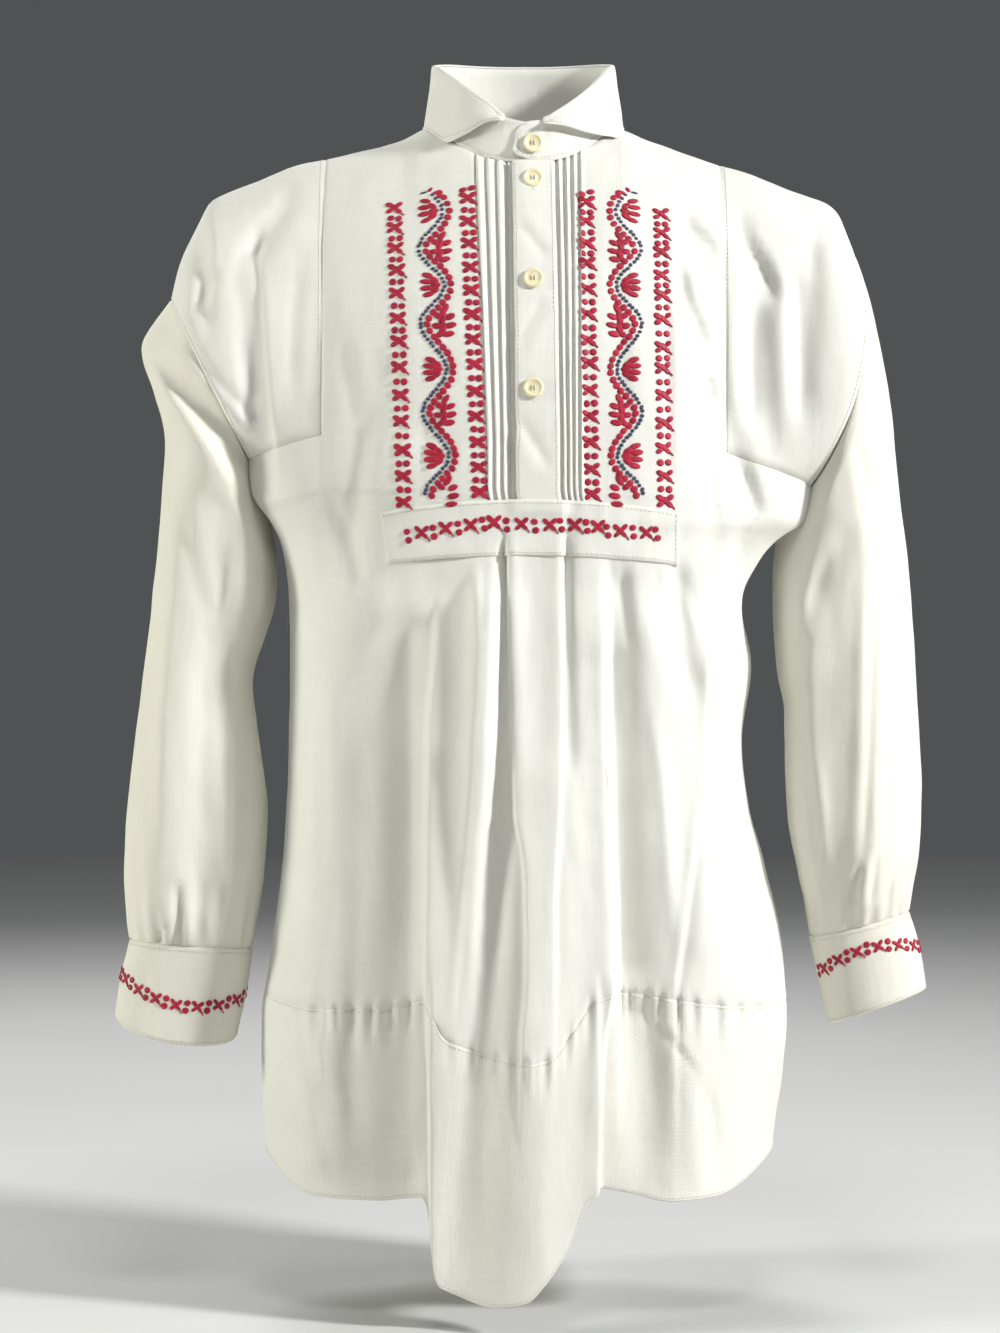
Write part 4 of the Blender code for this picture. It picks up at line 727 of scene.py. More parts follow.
def front_at_x(x, z):
    """The front's point whose own x is given, found in a few steps."""
    aim = x
    for _ in range(AIM_ROUNDS):
        aim = aim + x - front_at(aim, z)[..., 0]
    return front_at(aim, z)


def fold_depth(points, rows):
    """How deep the main folds press each point in, by its place seen along Y."""
    x = points[..., 0]
    z = points[..., 2]
    depth = np.zeros(x.shape)
    for row in zip(*rows.values()):
        x_top, z_top, x_low, z_low, width_top, width_low, depth_top, depth_low, lean = row
        u = np.clip((z_top - z) / (z_top - z_low), 0, 1)
        slant = math.atan2(x_low - x_top, z_top - z_low)
        away = (x - x_top - (x_low - x_top) * u) * math.cos(slant)
        width = (width_top + (width_low - width_top) * u) * np.where(away > 0, 1 + lean, 1 - lean)
        beyond = np.maximum(z - z_top, 0) + np.maximum(z_low - z, 0)
        amount = (depth_top + (depth_low - depth_top) * u) * np.exp(-(beyond / FOLD_END_FADE) ** 2)
        depth += amount * np.exp(-(away / width) ** 2)
    return depth


def crease_depth(across, down, rows):
    """How deep the finer creases, each with a small ridge beside it, press in."""
    depth = np.zeros(across.shape)
    for x_from, y_from, x_to, y_to, wide, bend, deep, beside in zip(*rows.values()):
        run = math.hypot(x_to - x_from, y_to - y_from)
        ahead = ((x_to - x_from) / run, (y_to - y_from) / run)
        along = ((across - x_from) * ahead[0] + (down - y_from) * ahead[1]) / run
        away = (across - x_from) * ahead[1] - (down - y_from) * ahead[0]
        away = away - bend * np.sin(math.pi * np.clip(along, 0, 1))
        ends = ease(along / CREASE_END + CREASE_END_START)
        ends = ends * ease((1 - along) / CREASE_END + CREASE_END_START)
        trough = np.exp(-(away / wide) ** 2)
        ridge = np.exp(-((away - beside * SIDE_RIDGE_AWAY * wide) / (SIDE_RIDGE_WIDTH * wide)) ** 2)
        depth += deep * CREASE_STRENGTH / 1000 * ends * (trough - SIDE_RIDGE_SHARE * ridge)
    return depth


def edge_depth(across, down):
    """How deep the crisp edges press in or, below 0, bring out."""
    depth = np.zeros(across.shape)
    for number, sizes in enumerate(zip(*EDGE_SIZES.values())):
        stands, sinks, reach_up, reach_down, side, fade = sizes
        mine = EDGE_LINES["edge"] == number
        tops = EDGE_LINES["down"][mine]
        away = side * (across - smooth(down, tops, EDGE_LINES["across"][mine]))
        over = ease(away / EDGE_SHARPNESS * 0.5 + 0.5)
        raised = -stands * np.exp(-(np.maximum(away, 0) / reach_up) ** 2)
        sunk = sinks * np.exp(-(np.minimum(away, 0) / reach_down) ** 2)
        below = np.maximum(down - tops[-1], 0) / fade
        above = np.maximum(tops[0] - down, 0) / (fade * EDGE_TOP_FADE)
        depth += (raised * over + sunk * (1 - over)) / 1000 * np.exp(-(below + above) ** 2)
    return depth


def seen(points):
    """Where points show in the photograph's frame: pixels across and down."""
    share = -EYE[1] / (points[..., 1] - EYE[1]) / PIXEL
    across = FRAME_MIDDLE[0] + (points[..., 0] - EYE[0]) * share
    down = FRAME_MIDDLE[1] - (points[..., 2] - EYE[2]) * share
    return across, down


def press(points):
    """Presses the main folds and finer creases of the front and the back into points, along Y only."""
    x, y, z = points[..., 0], points[..., 1], points[..., 2]
    across, down = seen(points)
    front = fold_depth(points, FRONT_FOLDS) + crease_depth(across, down, FRONT_CREASES)
    front = front + edge_depth(across, down)
    back = fold_depth(points, BACK_FOLDS) + crease_depth(x * 1000, -z * 1000, BACK_CREASES)
    moved = points.copy()
    moved[..., 1] += front * ease(-y / FOLD_FACING) - back * ease(y / FOLD_FACING)
    return moved


def normals_of(points, face):
    """Outward unit normals of a grid whose columns run towards +X on the front."""
    across = np.gradient(points, axis=1)
    up = np.gradient(points, axis=0)
    return unit(np.cross(across, up)) * face


def lengths_along(points, axis):
    """Running length along a grid's rows or columns."""
    steps = np.linalg.norm(np.diff(points, axis=axis), axis=-1)
    start = np.zeros_like(steps.take([0], axis))
    return np.concatenate([start, np.cumsum(steps, axis=axis)], axis=axis)


def border_falloff(points, reach):
    """0 on a grid's edge lines, rising to 1 at a distance of reach."""
    wide = lengths_along(points, 1)
    tall = lengths_along(points, 0)
    nearest = np.minimum(np.minimum(wide, wide[:, -1:] - wide), np.minimum(tall, tall[-1:] - tall))
    return ease(nearest / reach)


def uneven(points, scale, stretch, seed):
    """Soft seeded noise at each point."""
    flat = points.reshape(-1, 3) * np.array([scale, scale, scale * stretch]) + seed
    return np.array([noise.noise(Vector(place)) for place in flat]).reshape(points.shape[:-1])


def crumpled(points, face, seed, amount=1.0):
    """Adds small uneven waves along the normals, none at the edges."""
    waves = 0
    for height, scale, stretch, step in CRUMPLES:
        waves = waves + height * uneven(points, scale, stretch, seed + step)
    calm = border_falloff(points, CRUMPLE_FREE_EDGE)
    return points + normals_of(points, face) * (waves * amount * calm)[..., None]


def groove(distance):
    """A sewn line's dip in the outer face, by distance from the seam."""
    return -GROOVE_DEPTH * np.exp(-(distance / GROOVE_HALF) ** 2)


def grooves(points, axes):
    """The dips of the seams at both ends of a grid's columns (axis 0) or rows (axis 1)."""
    rise = 0
    for axis in axes:
        run = lengths_along(points, axis)
        rise = rise + groove(run) + groove(run.take([-1], axis) - run)
    return rise


def quads_of(rows, columns):
    """The corners of each square of a grid."""
    corner = np.arange(rows * columns).reshape(rows, columns)
    return np.stack([corner[:-1, :-1], corner[:-1, 1:], corner[1:, 1:], corner[1:, :-1]], axis=-1)


class Panel:
    """A grid of cloth points, its outward normals, the faces kept, and its cloth coordinates."""

    def __init__(self, name, points, face=-1, keep=None, thickness=CLOTH, rise=None):
        self.name = name
        self.points = points
        self.facing = -face
        self.normals = normals_of(points, self.facing)
        rows, columns = points.shape[:2]
        self.keep = np.ones((rows - 1, columns - 1), bool) if keep is None else keep
        self.thickness = thickness
        self.rise = np.zeros((rows, columns)) if rise is None else rise
        wide = lengths_along(points, 1)
        middle = columns // 2
        self.cloth_u = wide - wide[:, middle:middle + 1]
        self.cloth_v = lengths_along(points, 0)

    def outer(self):
        return self.points + self.normals * self.rise[..., None]

    def build(self, made_of):
        """Makes the closed wall: outer face, inner face and rounded rims."""
        quads = quads_of(*self.points.shape[:2])[self.keep]
        if self.facing < 0:
            quads = quads[:, ::-1]
        used, quads = np.unique(quads, return_inverse=True)
        quads = quads.reshape(-1, 4)
        outer = self.outer().reshape(-1, 3)[used]
        normals = self.normals.reshape(-1, 3)[used]
        inner = self.points.reshape(-1, 3)[used] - normals * self.thickness
        count = len(outer)
        starts = quads.reshape(-1)
        ends = np.roll(quads, -1, axis=1).reshape(-1)
        single = ~np.isin(starts * count + ends, ends * count + starts)
        a, b = starts[single], ends[single]
        out = np.zeros_like(outer)
        sideways = unit(np.cross(outer[b] - outer[a], normals[a]))
        np.add.at(out, a, sideways)
        np.add.at(out, b, sideways)
        rim = np.unique(np.concatenate([a, b]))
        place = np.zeros(count, int)
        place[rim] = 2 * count + np.arange(len(rim))
        round_rim = (outer[rim] + inner[rim]) / 2 + unit(out[rim]) * self.thickness * RIM_ROUNDING
        faces = np.concatenate([
            quads,
            quads[:, ::-1] + count,
            np.stack([b, a, place[a], place[b]], axis=1),
            np.stack([place[b], place[a], a + count, b + count], axis=1),
        ])
        mesh = bpy.data.meshes.new(self.name)
        mesh.from_pydata(np.vstack([outer, inner, round_rim]), [], faces)
        uv = np.stack([self.cloth_u, self.cloth_v], axis=-1).reshape(-1, 2)[used]
        uv = np.vstack([uv, uv, uv[rim]])
        layer = mesh.uv_layers.new(name="UVMap")
        corners = np.zeros(len(mesh.loops), int)
        mesh.loops.foreach_get("vertex_index", corners)
        layer.data.foreach_set("uv", uv[corners].astype(np.float32).ravel())
        mesh.update()
        mesh.shade_smooth()
        return finish_piece(self.name, mesh, made_of)


def finish_piece(name, mesh, made_of):
    """A visible piece of one material, riding on the one body."""
    made = bpy.data.objects.new(name, mesh)
    bpy.context.scene.collection.objects.link(made)
    made.data.materials.clear()
    made.data.materials.append(made_of)
    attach(made, "root")
    return made


# Materials: lighter and darker colour, then what linen() and yarn() say
LINENS = {
    "linen": ((0.88, 0.872, 0.820), (0.74, 0.735, 0.680), 0.00075, 0.7),
    "band_linen": ((0.90, 0.892, 0.830), (0.74, 0.732, 0.670), 0.0010, 1.0),
    "sleeve_linen": ((0.88, 0.860, 0.770), (0.75, 0.730, 0.630), 0.00075, 0.7),
}
YARNS = {
    "crimson_yarn": ((0.56, 0.008, 0.046), (0.20, 0.003, 0.020), 5, 0.50),
    "slate_yarn": ((0.080, 0.095, 0.17), (0.030, 0.034, 0.065), 4, 0.55),
    "sewing_yarn": ((0.80, 0.77, 0.68), (0.62, 0.59, 0.50), 3, 0.70),
}
BUTTON_COLOURS = ((0.89, 0.83, 0.60), (0.74, 0.65, 0.38))
PAPER_COLOURS = ((0.66, 0.66, 0.655), (0.60, 0.60, 0.60))
# The part of a noise's range that matters
NOISE_LOW = 0.3
NOISE_HIGH = 0.7
# Waves in a metre
THREAD_WANDER = 90.0
SLUBS = 22.0
LINEN_CLOUDS = 9.0
FINE_CRUMPLES = (70.0, 70.0, 32.0)
YARN_CLOUDS = 160.0
BUTTON_CLOUDS = 130.0
BUTTON_GRAIN = 900.0
PAPER_CLOUDS = 3.0


class Nodes:
    """Short ways to add and join a tree's nodes."""

    def __init__(self, tree):
        self.tree = tree

    def add(self, kind, values=(), **settings):
        node = self.tree.nodes.new(kind)
        for name, value in settings.items():
            setattr(node, name, value)
        for socket, value in dict(values).items():
            self.put(node.inputs[socket], value)
        return node

    def put(self, socket, value):
        if isinstance(value, bpy.types.NodeSocket):
            self.tree.links.new(value, socket)
        else:
            socket.default_value = value

    def math(self, operation, a, b=0.0):
        return self.add("ShaderNodeMath", {0: a, 1: b}, operation=operation).outputs[0]


class Look(Nodes):
    """A material, its cloth coordinates and its places in the frame."""

    def __init__(self, name):
        self.material = bpy.data.materials.new(name)
        self.material.use_nodes = True
        super().__init__(self.material.node_tree)
        coords = self.add("ShaderNodeTexCoord").outputs
        self.cloth = coords["UV"]
        self.place = coords["Object"]

    def noise(self, vector, scale, detail=2.0, roughness=0.5):
        values = {"Vector": vector, "Scale": scale, "Detail": detail, "Roughness": roughness}
        return self.add("ShaderNodeTexNoise", values).outputs["Fac"]

    def scaled(self, vector, scale):
        return self.add("ShaderNodeMapping", {"Vector": vector, "Scale": scale}).outputs[0]

    def spread(self, value, low, high, to_low, to_high):
        values = {"Value": value, "From Min": low, "From Max": high, "To Min": to_low, "To Max": to_high}
        return self.add("ShaderNodeMapRange", values).outputs[0]

    def vary(self, noise_value, to_low, to_high):
        return self.spread(noise_value, NOISE_LOW, NOISE_HIGH, to_low, to_high)

    def mix(self, factor, light, dark):
        node = self.add("ShaderNodeMix", {"Factor": factor}, data_type="RGBA")
        for label, colour in (("A", dark), ("B", light)):
            inputs = [item for item in node.inputs if item.name == label and item.type == "RGBA"]
            self.put(inputs[0], (*colour, 1))
        return [item for item in node.outputs if item.type == "RGBA"][0]

    def bump(self, height, distance, strength=1.0, **before):
        values = {"Height": height, "Distance": distance, "Strength": strength, **before}
        return self.add("ShaderNodeBump", values).outputs[0]

    def finish(self, values):
        shader = self.tree.nodes["Principled BSDF"]
        for socket, value in values.items():
            self.put(shader.inputs[socket], value)
        return self.material


def linen(name, light, dark, thread, rough_weave):
    """Plain-woven linen: thread is one thread's width, rough_weave how much the threads differ."""
    n = Look(name)
    wander = n.noise(n.cloth, THREAD_WANDER)
    split = n.add("ShaderNodeSeparateXYZ", {0: n.cloth}).outputs
    woven = []
    for k, swerve in enumerate((thread * 0.5, -thread * 0.5)):
        bent = n.math("ADD", split[k], n.spread(wander, 0, 1, -swerve, swerve))
        woven.append(n.math("ABSOLUTE", n.math("SINE", n.math("MULTIPLY", bent, math.pi / thread))))
    crossing = n.math("MULTIPLY", *woven)
    slubs = [n.noise(n.scaled(n.cloth, scale), 1.0)
             for scale in ((1 / thread, SLUBS, 1.0), (SLUBS, 1 / thread, 1.0))]
    slubs = n.math("MULTIPLY", n.math("ADD", *slubs), 0.5)
    patches = n.noise(n.place, LINEN_CLOUDS, 3.0)
    tone = n.math("ADD", n.vary(slubs, 0.0, 0.55), n.vary(patches, 0.0, 0.45))
    # the weave's height also darkens the tone between the threads: painted shade in the weave's hollows
    tone = n.math("MULTIPLY", tone, n.spread(crossing, 0.0, 0.6, 0.75, 1.0))
    crumple = n.bump(n.noise(n.scaled(n.place, FINE_CRUMPLES), 1.0, 3.0, 0.55), 0.0012, 0.55)
    threads = n.math("ADD", crossing, n.math("MULTIPLY", slubs, rough_weave))
    return n.finish({
        "Base Color": n.mix(tone, light, dark),
        "Roughness": n.vary(slubs, 0.92, 0.80),
        "Sheen Weight": 0.12,
        "Sheen Roughness": 0.5,
        "Specular IOR Level": 0.25,
        "Normal": n.bump(threads, thread * 0.3, 0.6, Normal=crumple),
    })


def yarn(name, light, dark, strands, rough):
    """Twisted thread: strands lie along each stitch."""
    n = Look(name)
    split = n.add("ShaderNodeSeparateXYZ", {0: n.cloth}).outputs
    swing = n.math("SINE", n.math("MULTIPLY", split[0], 2 * math.pi * strands))
    strand = n.spread(swing, -1, 1, 0, 1)
    patches = n.noise(n.place, YARN_CLOUDS)
    # the strand wave also darkens the grooves between strands: painted shade; the patches are the yarn's
    # random tone
    tone = n.math("ADD", n.math("MULTIPLY", strand, 0.45), n.vary(patches, 0.0, 0.55))
    return n.finish({
        "Base Color": n.mix(tone, light, dark),
        "Roughness": n.vary(patches, rough, rough + 0.12),
        "Sheen Weight": 0.15,
        "Specular IOR Level": 0.35,
        "Normal": n.bump(strand, 0.0002, 0.8),
    })


def button_cream():
    """A turned button's clouded, slightly glossy cream."""
    n = Look("button_cream")
    clouds = n.noise(n.place, BUTTON_CLOUDS, 3.0)
    grain = n.noise(n.place, BUTTON_GRAIN)
    return n.finish({
        "Base Color": n.mix(n.vary(clouds, 0.0, 1.0), *BUTTON_COLOURS),
        "Roughness": n.vary(grain, 0.28, 0.42),
        "Normal": n.bump(grain, 0.0001, 0.3),
        "Coat Weight": 0.2,
    })


def floor_paper():
    """The floor's matt grey."""
    n = Look("floor_paper")
    clouds = n.noise(n.place, PAPER_CLOUDS)
    return n.finish({"Base Color": n.mix(clouds, *PAPER_COLOURS), "Roughness": 0.9})


# Stitches, laid on the cloth by a node tree
STITCH_VALUES = ("way", "out", "size")
STITCH_INPUTS = (
    ("Fullness", "NodeSocketFloat", 1.0), ("Size variation", "NodeSocketFloat", 0.08),
    ("Segments", "NodeSocketInt", 8), ("Rings", "NodeSocketInt", 5), ("Seed", "NodeSocketInt", 11),
    ("Yarn", "NodeSocketMaterial", None),
)
STITCH_SUNK = 0.25


class Stitches:
    """Places, directions and sizes of many stitches of one yarn."""

    def __init__(self):
        self.place = []
        self.way = []
        self.out = []
        self.size = []

    def lay(self, place, way, out, length, width, height):
        self.place.append(np.asarray(place) + np.asarray(out) * height * STITCH_SUNK)
        self.way.append(way)
        self.out.append(out)
        self.size.append((length, width, height))

    def along(self, points, normals, length, gap, width, height):
        """A row of running stitches along a line of points."""
        run = lengths_along(points, 0)
        for middle in np.arange(gap, run[-1] - length, length + gap) + length / 2:
            start, end = (value_at(middle + half, run, points) for half in (-length / 2, length / 2))
            out = unit(value_at(middle, run, normals))
            self.lay(value_at(middle, run, points), unit(end - start), out, length, width, height)


def value_at(at, run, line):
    """What a line of places or directions says at a running length."""
    return np.array([np.interp(at, run, line[:, k]) for k in range(line.shape[1])])


def stitch_tree(name):
    """Lays a small oval of thread on every point, turned and sized by the point's own values."""
    tree = bpy.data.node_groups.new(name, "GeometryNodeTree")
    face = tree.interface
    face.new_socket("Geometry", in_out="INPUT", socket_type="NodeSocketGeometry")
    for label, kind, value in STITCH_INPUTS:
        socket = face.new_socket(label, in_out="INPUT", socket_type=kind)
        if value is not None:
            socket.default_value = value
    face.new_socket("Geometry", in_out="OUTPUT", socket_type="NodeSocketGeometry")
    n = Nodes(tree)
    given = n.add("NodeGroupInput").outputs
    oval = {"Radius": 0.5, "Segments": given["Segments"], "Rings": given["Rings"]}
    oval = n.add("GeometryNodeMeshUVSphere", oval).outputs
    strands = {"Name": "UVMap", "Geometry": oval["Mesh"], "Value": oval["UV Map"]}
    strands = n.add("GeometryNodeStoreNamedAttribute", strands, data_type="FLOAT2", domain="CORNER")
    turned = {"Geometry": strands.outputs[0], "Rotation": (0.0, math.pi / 2, 0.0)}
    turned = n.add("GeometryNodeTransform", turned)
    softened = n.add("GeometryNodeSetShadeSmooth", {"Geometry": turned.outputs[0]})
    read = "GeometryNodeInputNamedAttribute"
    named = [n.add(read, {"Name": label}, data_type="FLOAT_VECTOR") for label in STITCH_VALUES]
    way, out, size = (node.outputs["Attribute"] for node in named)
    axes = {"Primary Axis": out, "Secondary Axis": way}
    axes = n.add("FunctionNodeAxesToRotation", axes, primary_axis="Z", secondary_axis="X")
    random = n.add("FunctionNodeRandomValue", {"Seed": given["Seed"]}, data_type="FLOAT")
    ends = [item for item in random.inputs if item.type == "VALUE" and item.name in ("Min", "Max")]
    for end, operation in zip(ends, ("SUBTRACT", "ADD")):
        n.put(end, n.math(operation, 1.0, given["Size variation"]))
    drawn = [item for item in random.outputs if item.type == "VALUE"][0]
    fuller = n.add("ShaderNodeCombineXYZ", {0: 1.0, 1: drawn, 2: given["Fullness"]})
    sized = n.add("ShaderNodeVectorMath", {0: size, 1: fuller.outputs[0]}, operation="MULTIPLY")
    laid = n.add("GeometryNodeInstanceOnPoints", {
        "Points": given["Geometry"],
        "Instance": softened.outputs[0],
        "Rotation": axes.outputs["Rotation"],
        "Scale": sized.outputs[0],
    })
    real = n.add("GeometryNodeRealizeInstances", {"Geometry": laid.outputs[0]})
    coloured = {"Geometry": real.outputs[0], "Material": given["Yarn"]}
    coloured = n.add("GeometryNodeSetMaterial", coloured)
    n.add("NodeGroupOutput", {"Geometry": coloured.outputs[0]})
    return tree


def sew(name, stitches, tree, made_of, **settings):
    """Turns laid stitches into one plain mesh."""
    mesh = bpy.data.meshes.new(name + "_places")
    mesh.from_pydata(np.array(stitches.place), [], [])
    for label in STITCH_VALUES:
        values = np.array(getattr(stitches, label), np.float32)
        mesh.attributes.new(label, "FLOAT_VECTOR", "POINT").data.foreach_set("vector", values.ravel())
    points = bpy.data.objects.new(name + "_places", mesh)
    bpy.context.scene.collection.objects.link(points)
    modifier = points.modifiers.new("stitches", "NODES")
    modifier.node_group = tree
    inputs = [item for item in tree.interface.items_tree if item.in_out == "INPUT"]
    sockets = {item.name: item.identifier for item in inputs}
    for label, value in dict(settings, Yarn=made_of).items():
        modifier[sockets[label]] = value
    laid = points.evaluated_get(bpy.context.evaluated_depsgraph_get())
    result = bpy.data.meshes.new_from_object(laid)
    bpy.data.objects.remove(points)
    result.name = name
    for label in STITCH_VALUES:
        if label in result.attributes:
            result.attributes.remove(result.attributes[label])
    return finish_piece(name, result, made_of)


# The grids of the cloth
FINE_STEPS = 300
SEAM_ROWS = (0.0008, 0.0020)
NECK_BEND_DEGREES = (65, 68, 71, 74, 77, 80, 83, 86, 90)
SLIT_LINES = (0.0003,)
LINES_REACH = 1.5
BACK_NECK_STEPS = 61
BACK_OUTSIDE_STEPS = 24
BACK_COLUMN_STEP = COLUMN_STEP * 1.15
BODY_LENGTH = 0.44
ARCH_LENGTH = 0.24
TAIL_LENGTH = 0.15
TAIL_ROW_STEP = 0.0042
SHOULDER_STEP = 0.003
SHOULDER_LEVEL = 0.4
SLEEVE_LENGTH = 0.50
SLEEVE_ROW_STEP = 0.0048
CUFF_LENGTH = 0.065
CUFF_ROW_STEP = 0.0030
RING_STEPS = 113
STAND_STEPS = 170
STAND_END_STEPS = 24
STAND_ROWS = 12
LEAF_STEPS = 190
LEAF_ROWS = 26
STRIP_GRID = (90, 15)
BAND_GRID = (91, 19)


def evenly(start, end, step, place):
    """Angles from start to end at even distances along a curve."""
    fine = np.linspace(start, end, FINE_STEPS)
    run = lengths_along(place(fine), 0)
    return np.interp(np.linspace(0, run[-1], max(2, round(run[-1] / step)) + 1), run, fine)


def with_sides(xs, face, step):
    """Column angles from side to side of the body, given the places across the breast or back."""

    def level(angle):
        return torso(angle, SIDE_LEVEL + 0 * angle, face)

    near = evenly(SEAM_ANGLE, CORNER_ANGLE, step, level)
    far = evenly(CORNER_ANGLE, math.pi / 2, step, level)
    sides = np.concatenate([near, far[1:]])
    return np.concatenate([-sides[::-1][:-1], angle_of(xs), sides[1:]])


def with_seam_lines(values, at, offsets):
    """Adds closely spaced values about each place, in place of what lies near them."""
    reach = max(offsets) * LINES_REACH
    kept = [value for value in values if all(abs(value - place) > reach for place in at)]
    added = [place + side * offset for place in at for offset in (0, *offsets) for side in (1, -1)]
    return np.unique(np.round(kept + added, 7))


def front_columns():
    """The front's column angles, closer at the pleats, the tucks, the slit and the neck."""
    inside = np.arange(MIDDLE_X[0], MIDDLE_X[1] + MIDDLE_STEP / 2, MIDDLE_STEP)
    bend = NECK_HALF_WIDTH * np.sin(np.radians(NECK_BEND_DEGREES))
    outside = np.concatenate([bend, np.linspace(NECK_HALF_WIDTH, SHOULDER_SEAM_X, OUTSIDE_STEPS)[1:]])
    xs = np.concatenate([-outside[::-1], inside, outside])
    xs = with_seam_lines(xs, TUCKS, TUCK_LINES)
    xs = with_seam_lines(xs, SLIT_X, SLIT_LINES)
    return with_sides(xs, -1, COLUMN_STEP)


def back_columns():
    """The back's column angles, closer at the neck."""
    inside = NECK_HALF_WIDTH * np.sin(np.radians(np.linspace(-90, 90, BACK_NECK_STEPS)))
    outside = np.linspace(NECK_HALF_WIDTH, SHOULDER_SEAM_X, BACK_OUTSIDE_STEPS)[1:]
    xs = np.concatenate([-outside[::-1], inside, outside])
    return with_sides(xs, 1, BACK_COLUMN_STEP)


def rows_between(length, step, close_start=True):
    """Shares from 0 to 1, a step apart, with closer rows at the ends for a seam's groove."""
    shares = list(np.linspace(0, 1, max(2, round(length / step)) + 1))
    close = [distance / length for distance in SEAM_ROWS]
    if close_start:
        shares += close
    shares += [1 - value for value in close]
    return np.unique(np.round(shares, 6))


def band_edges(x):
    """Heights of the breast band's top and bottom edges at x."""
    bend = ((x - BAND_MIDDLE) / (BAND_X[1] - BAND_MIDDLE)) ** 2
    return BAND_TOP - BAND_SAG[0] * bend, BAND_LOW - BAND_SAG[1] * bend


def gathered(points, seam_z, face):
    """Small uneven gathers just under the band's seam, dying out above it."""
    below = seam_z - points[..., 2]
    depth = np.zeros(below.shape)
    across, _ = seen(points)
    for px, wide, deep, length in zip(*GATHERS.values()):
        away = across - (px if face < 0 else GATHER_BACK_MIRROR - px)
        fade = np.exp(-(below / np.where(below > 0, length * PIXEL, GATHER_ABOVE_SEAM)) ** 2)
        trough = np.exp(-(away / wide) ** 2)
        ridge = np.exp(-((away - GATHER_RIDGE_AWAY * wide) / (GATHER_RIDGE_WIDTH * wide)) ** 2)
        depth += GATHER_STRENGTH * deep / 1000 * fade * (trough - GATHER_RIDGE_SHARE * ridge)
    moved = points.copy()
    moved[..., 1] -= face * depth * ease(np.abs(points[..., 1]) / FOLD_FACING)
    return moved


def body_grid(columns, face):
    """The upper body's points from the band seam up to the shoulders' top, and the squares kept."""
    angle, v = np.meshgrid(columns, rows_between(BODY_LENGTH, ROW_STEP))
    low = body_point(angle, v, face)
    angle, s = np.meshgrid(columns, rows_between(ARCH_LENGTH, ROW_STEP, close_start=False)[1:])
    high = arch(angle, s * neck_height(columns, face), face)
    seam, _ = seam_heights(columns, face)
    points = gathered(press(np.vstack([low, high])), seam, face)
    arched = np.abs(columns) <= SEAM_ANGLE + SAME
    keep = np.ones((len(points) - 1, len(columns) - 1), bool)
    keep[len(low) - 1:] = arched[:-1] & arched[1:]
    return points, keep


def make_front(columns):
    """The front, with the placket's trough, the tucks, and the slit under the placket."""
    points, keep = body_grid(columns, -1)
    x = CHEST_HALF_WIDTH * across_share(columns)
    trough_x, trough_half, trough_deep = PLACKET_TROUGH
    trough = trough_deep * np.exp(-((x - trough_x) / trough_half) ** 2)
    away, rise = TUCK_SECTION["away"], TUCK_SECTION["rise"]
    tucks = sum(np.interp((at - x) * 1000, away, rise) / 1000 for at in TUCKS)
    band_top, _ = band_edges(x)
    z = points[..., 2]
    above_band = z - band_top
    tucks = tucks * ease((above_band + TUCK_END_UNDER_BAND) / TUCK_FADE)
    points[..., 1] += trough * ease(above_band / TROUGH_FADE) - tucks
    in_slit = (x[:-1] >= SLIT_X[0] - 10 * SAME) & (x[1:] <= SLIT_X[1] + 10 * SAME)
    keep &= ~(in_slit & (z[:-1, :-1] > SLIT_LOW_Z))
    points = crumpled(points, 1, 3.0)
    return Panel("front_linen", points, -1, keep, rise=grooves(points, (0, 1)))


def make_back(columns):
    """The back, plain."""
    points, keep = body_grid(columns, 1)
    points = crumpled(points, -1, 19.0)
    return Panel("back_linen", points, 1, keep, rise=grooves(points, (0,)))


def make_tail(name, columns, face, seed):
    """A lower band, from its seam down to the hem."""
    angle, share = np.meshgrid(columns, rows_between(TAIL_LENGTH, TAIL_ROW_STEP))
    seam, _ = seam_heights(columns, face)
    points = gathered(press(tail_point(angle, share, face)), seam, face)
    points = crumpled(points, -face, seed)[::-1]
    from_seam = lengths_along(points[::-1], 0)[::-1]
    return Panel(name, points, face, rise=groove(from_seam))


def make_shoulder(name, side):
    """A shoulder piece, up the front, over the top and down the back."""

    def level(angle):
        return arch(angle, SHOULDER_LEVEL + 0 * angle, -1)

    columns = side * evenly(SEAM_ANGLE, CORNER_ANGLE, SHOULDER_STEP, level)[::side]
    angle, s = np.meshgrid(columns, rows_between(ARCH_LENGTH, ROW_STEP, close_start=False))
    front, back = (press(arch(angle, s, face)) for face in (-1, 1))
    points = crumpled(np.vstack([front, back[::-1][1:]]), 1, 31.0 + side)
    return Panel(name, points, -1, rise=grooves(points, (1,)))


def ring_rows(rows, v):
    """A ring's sizes at shares v along a sleeve or cuff."""
    keys = np.arange(len(rows["depth"]), dtype=float)
    return {name: smooth(v * (len(keys) - 1), keys, values)[:, None] for name, values in rows.items()}


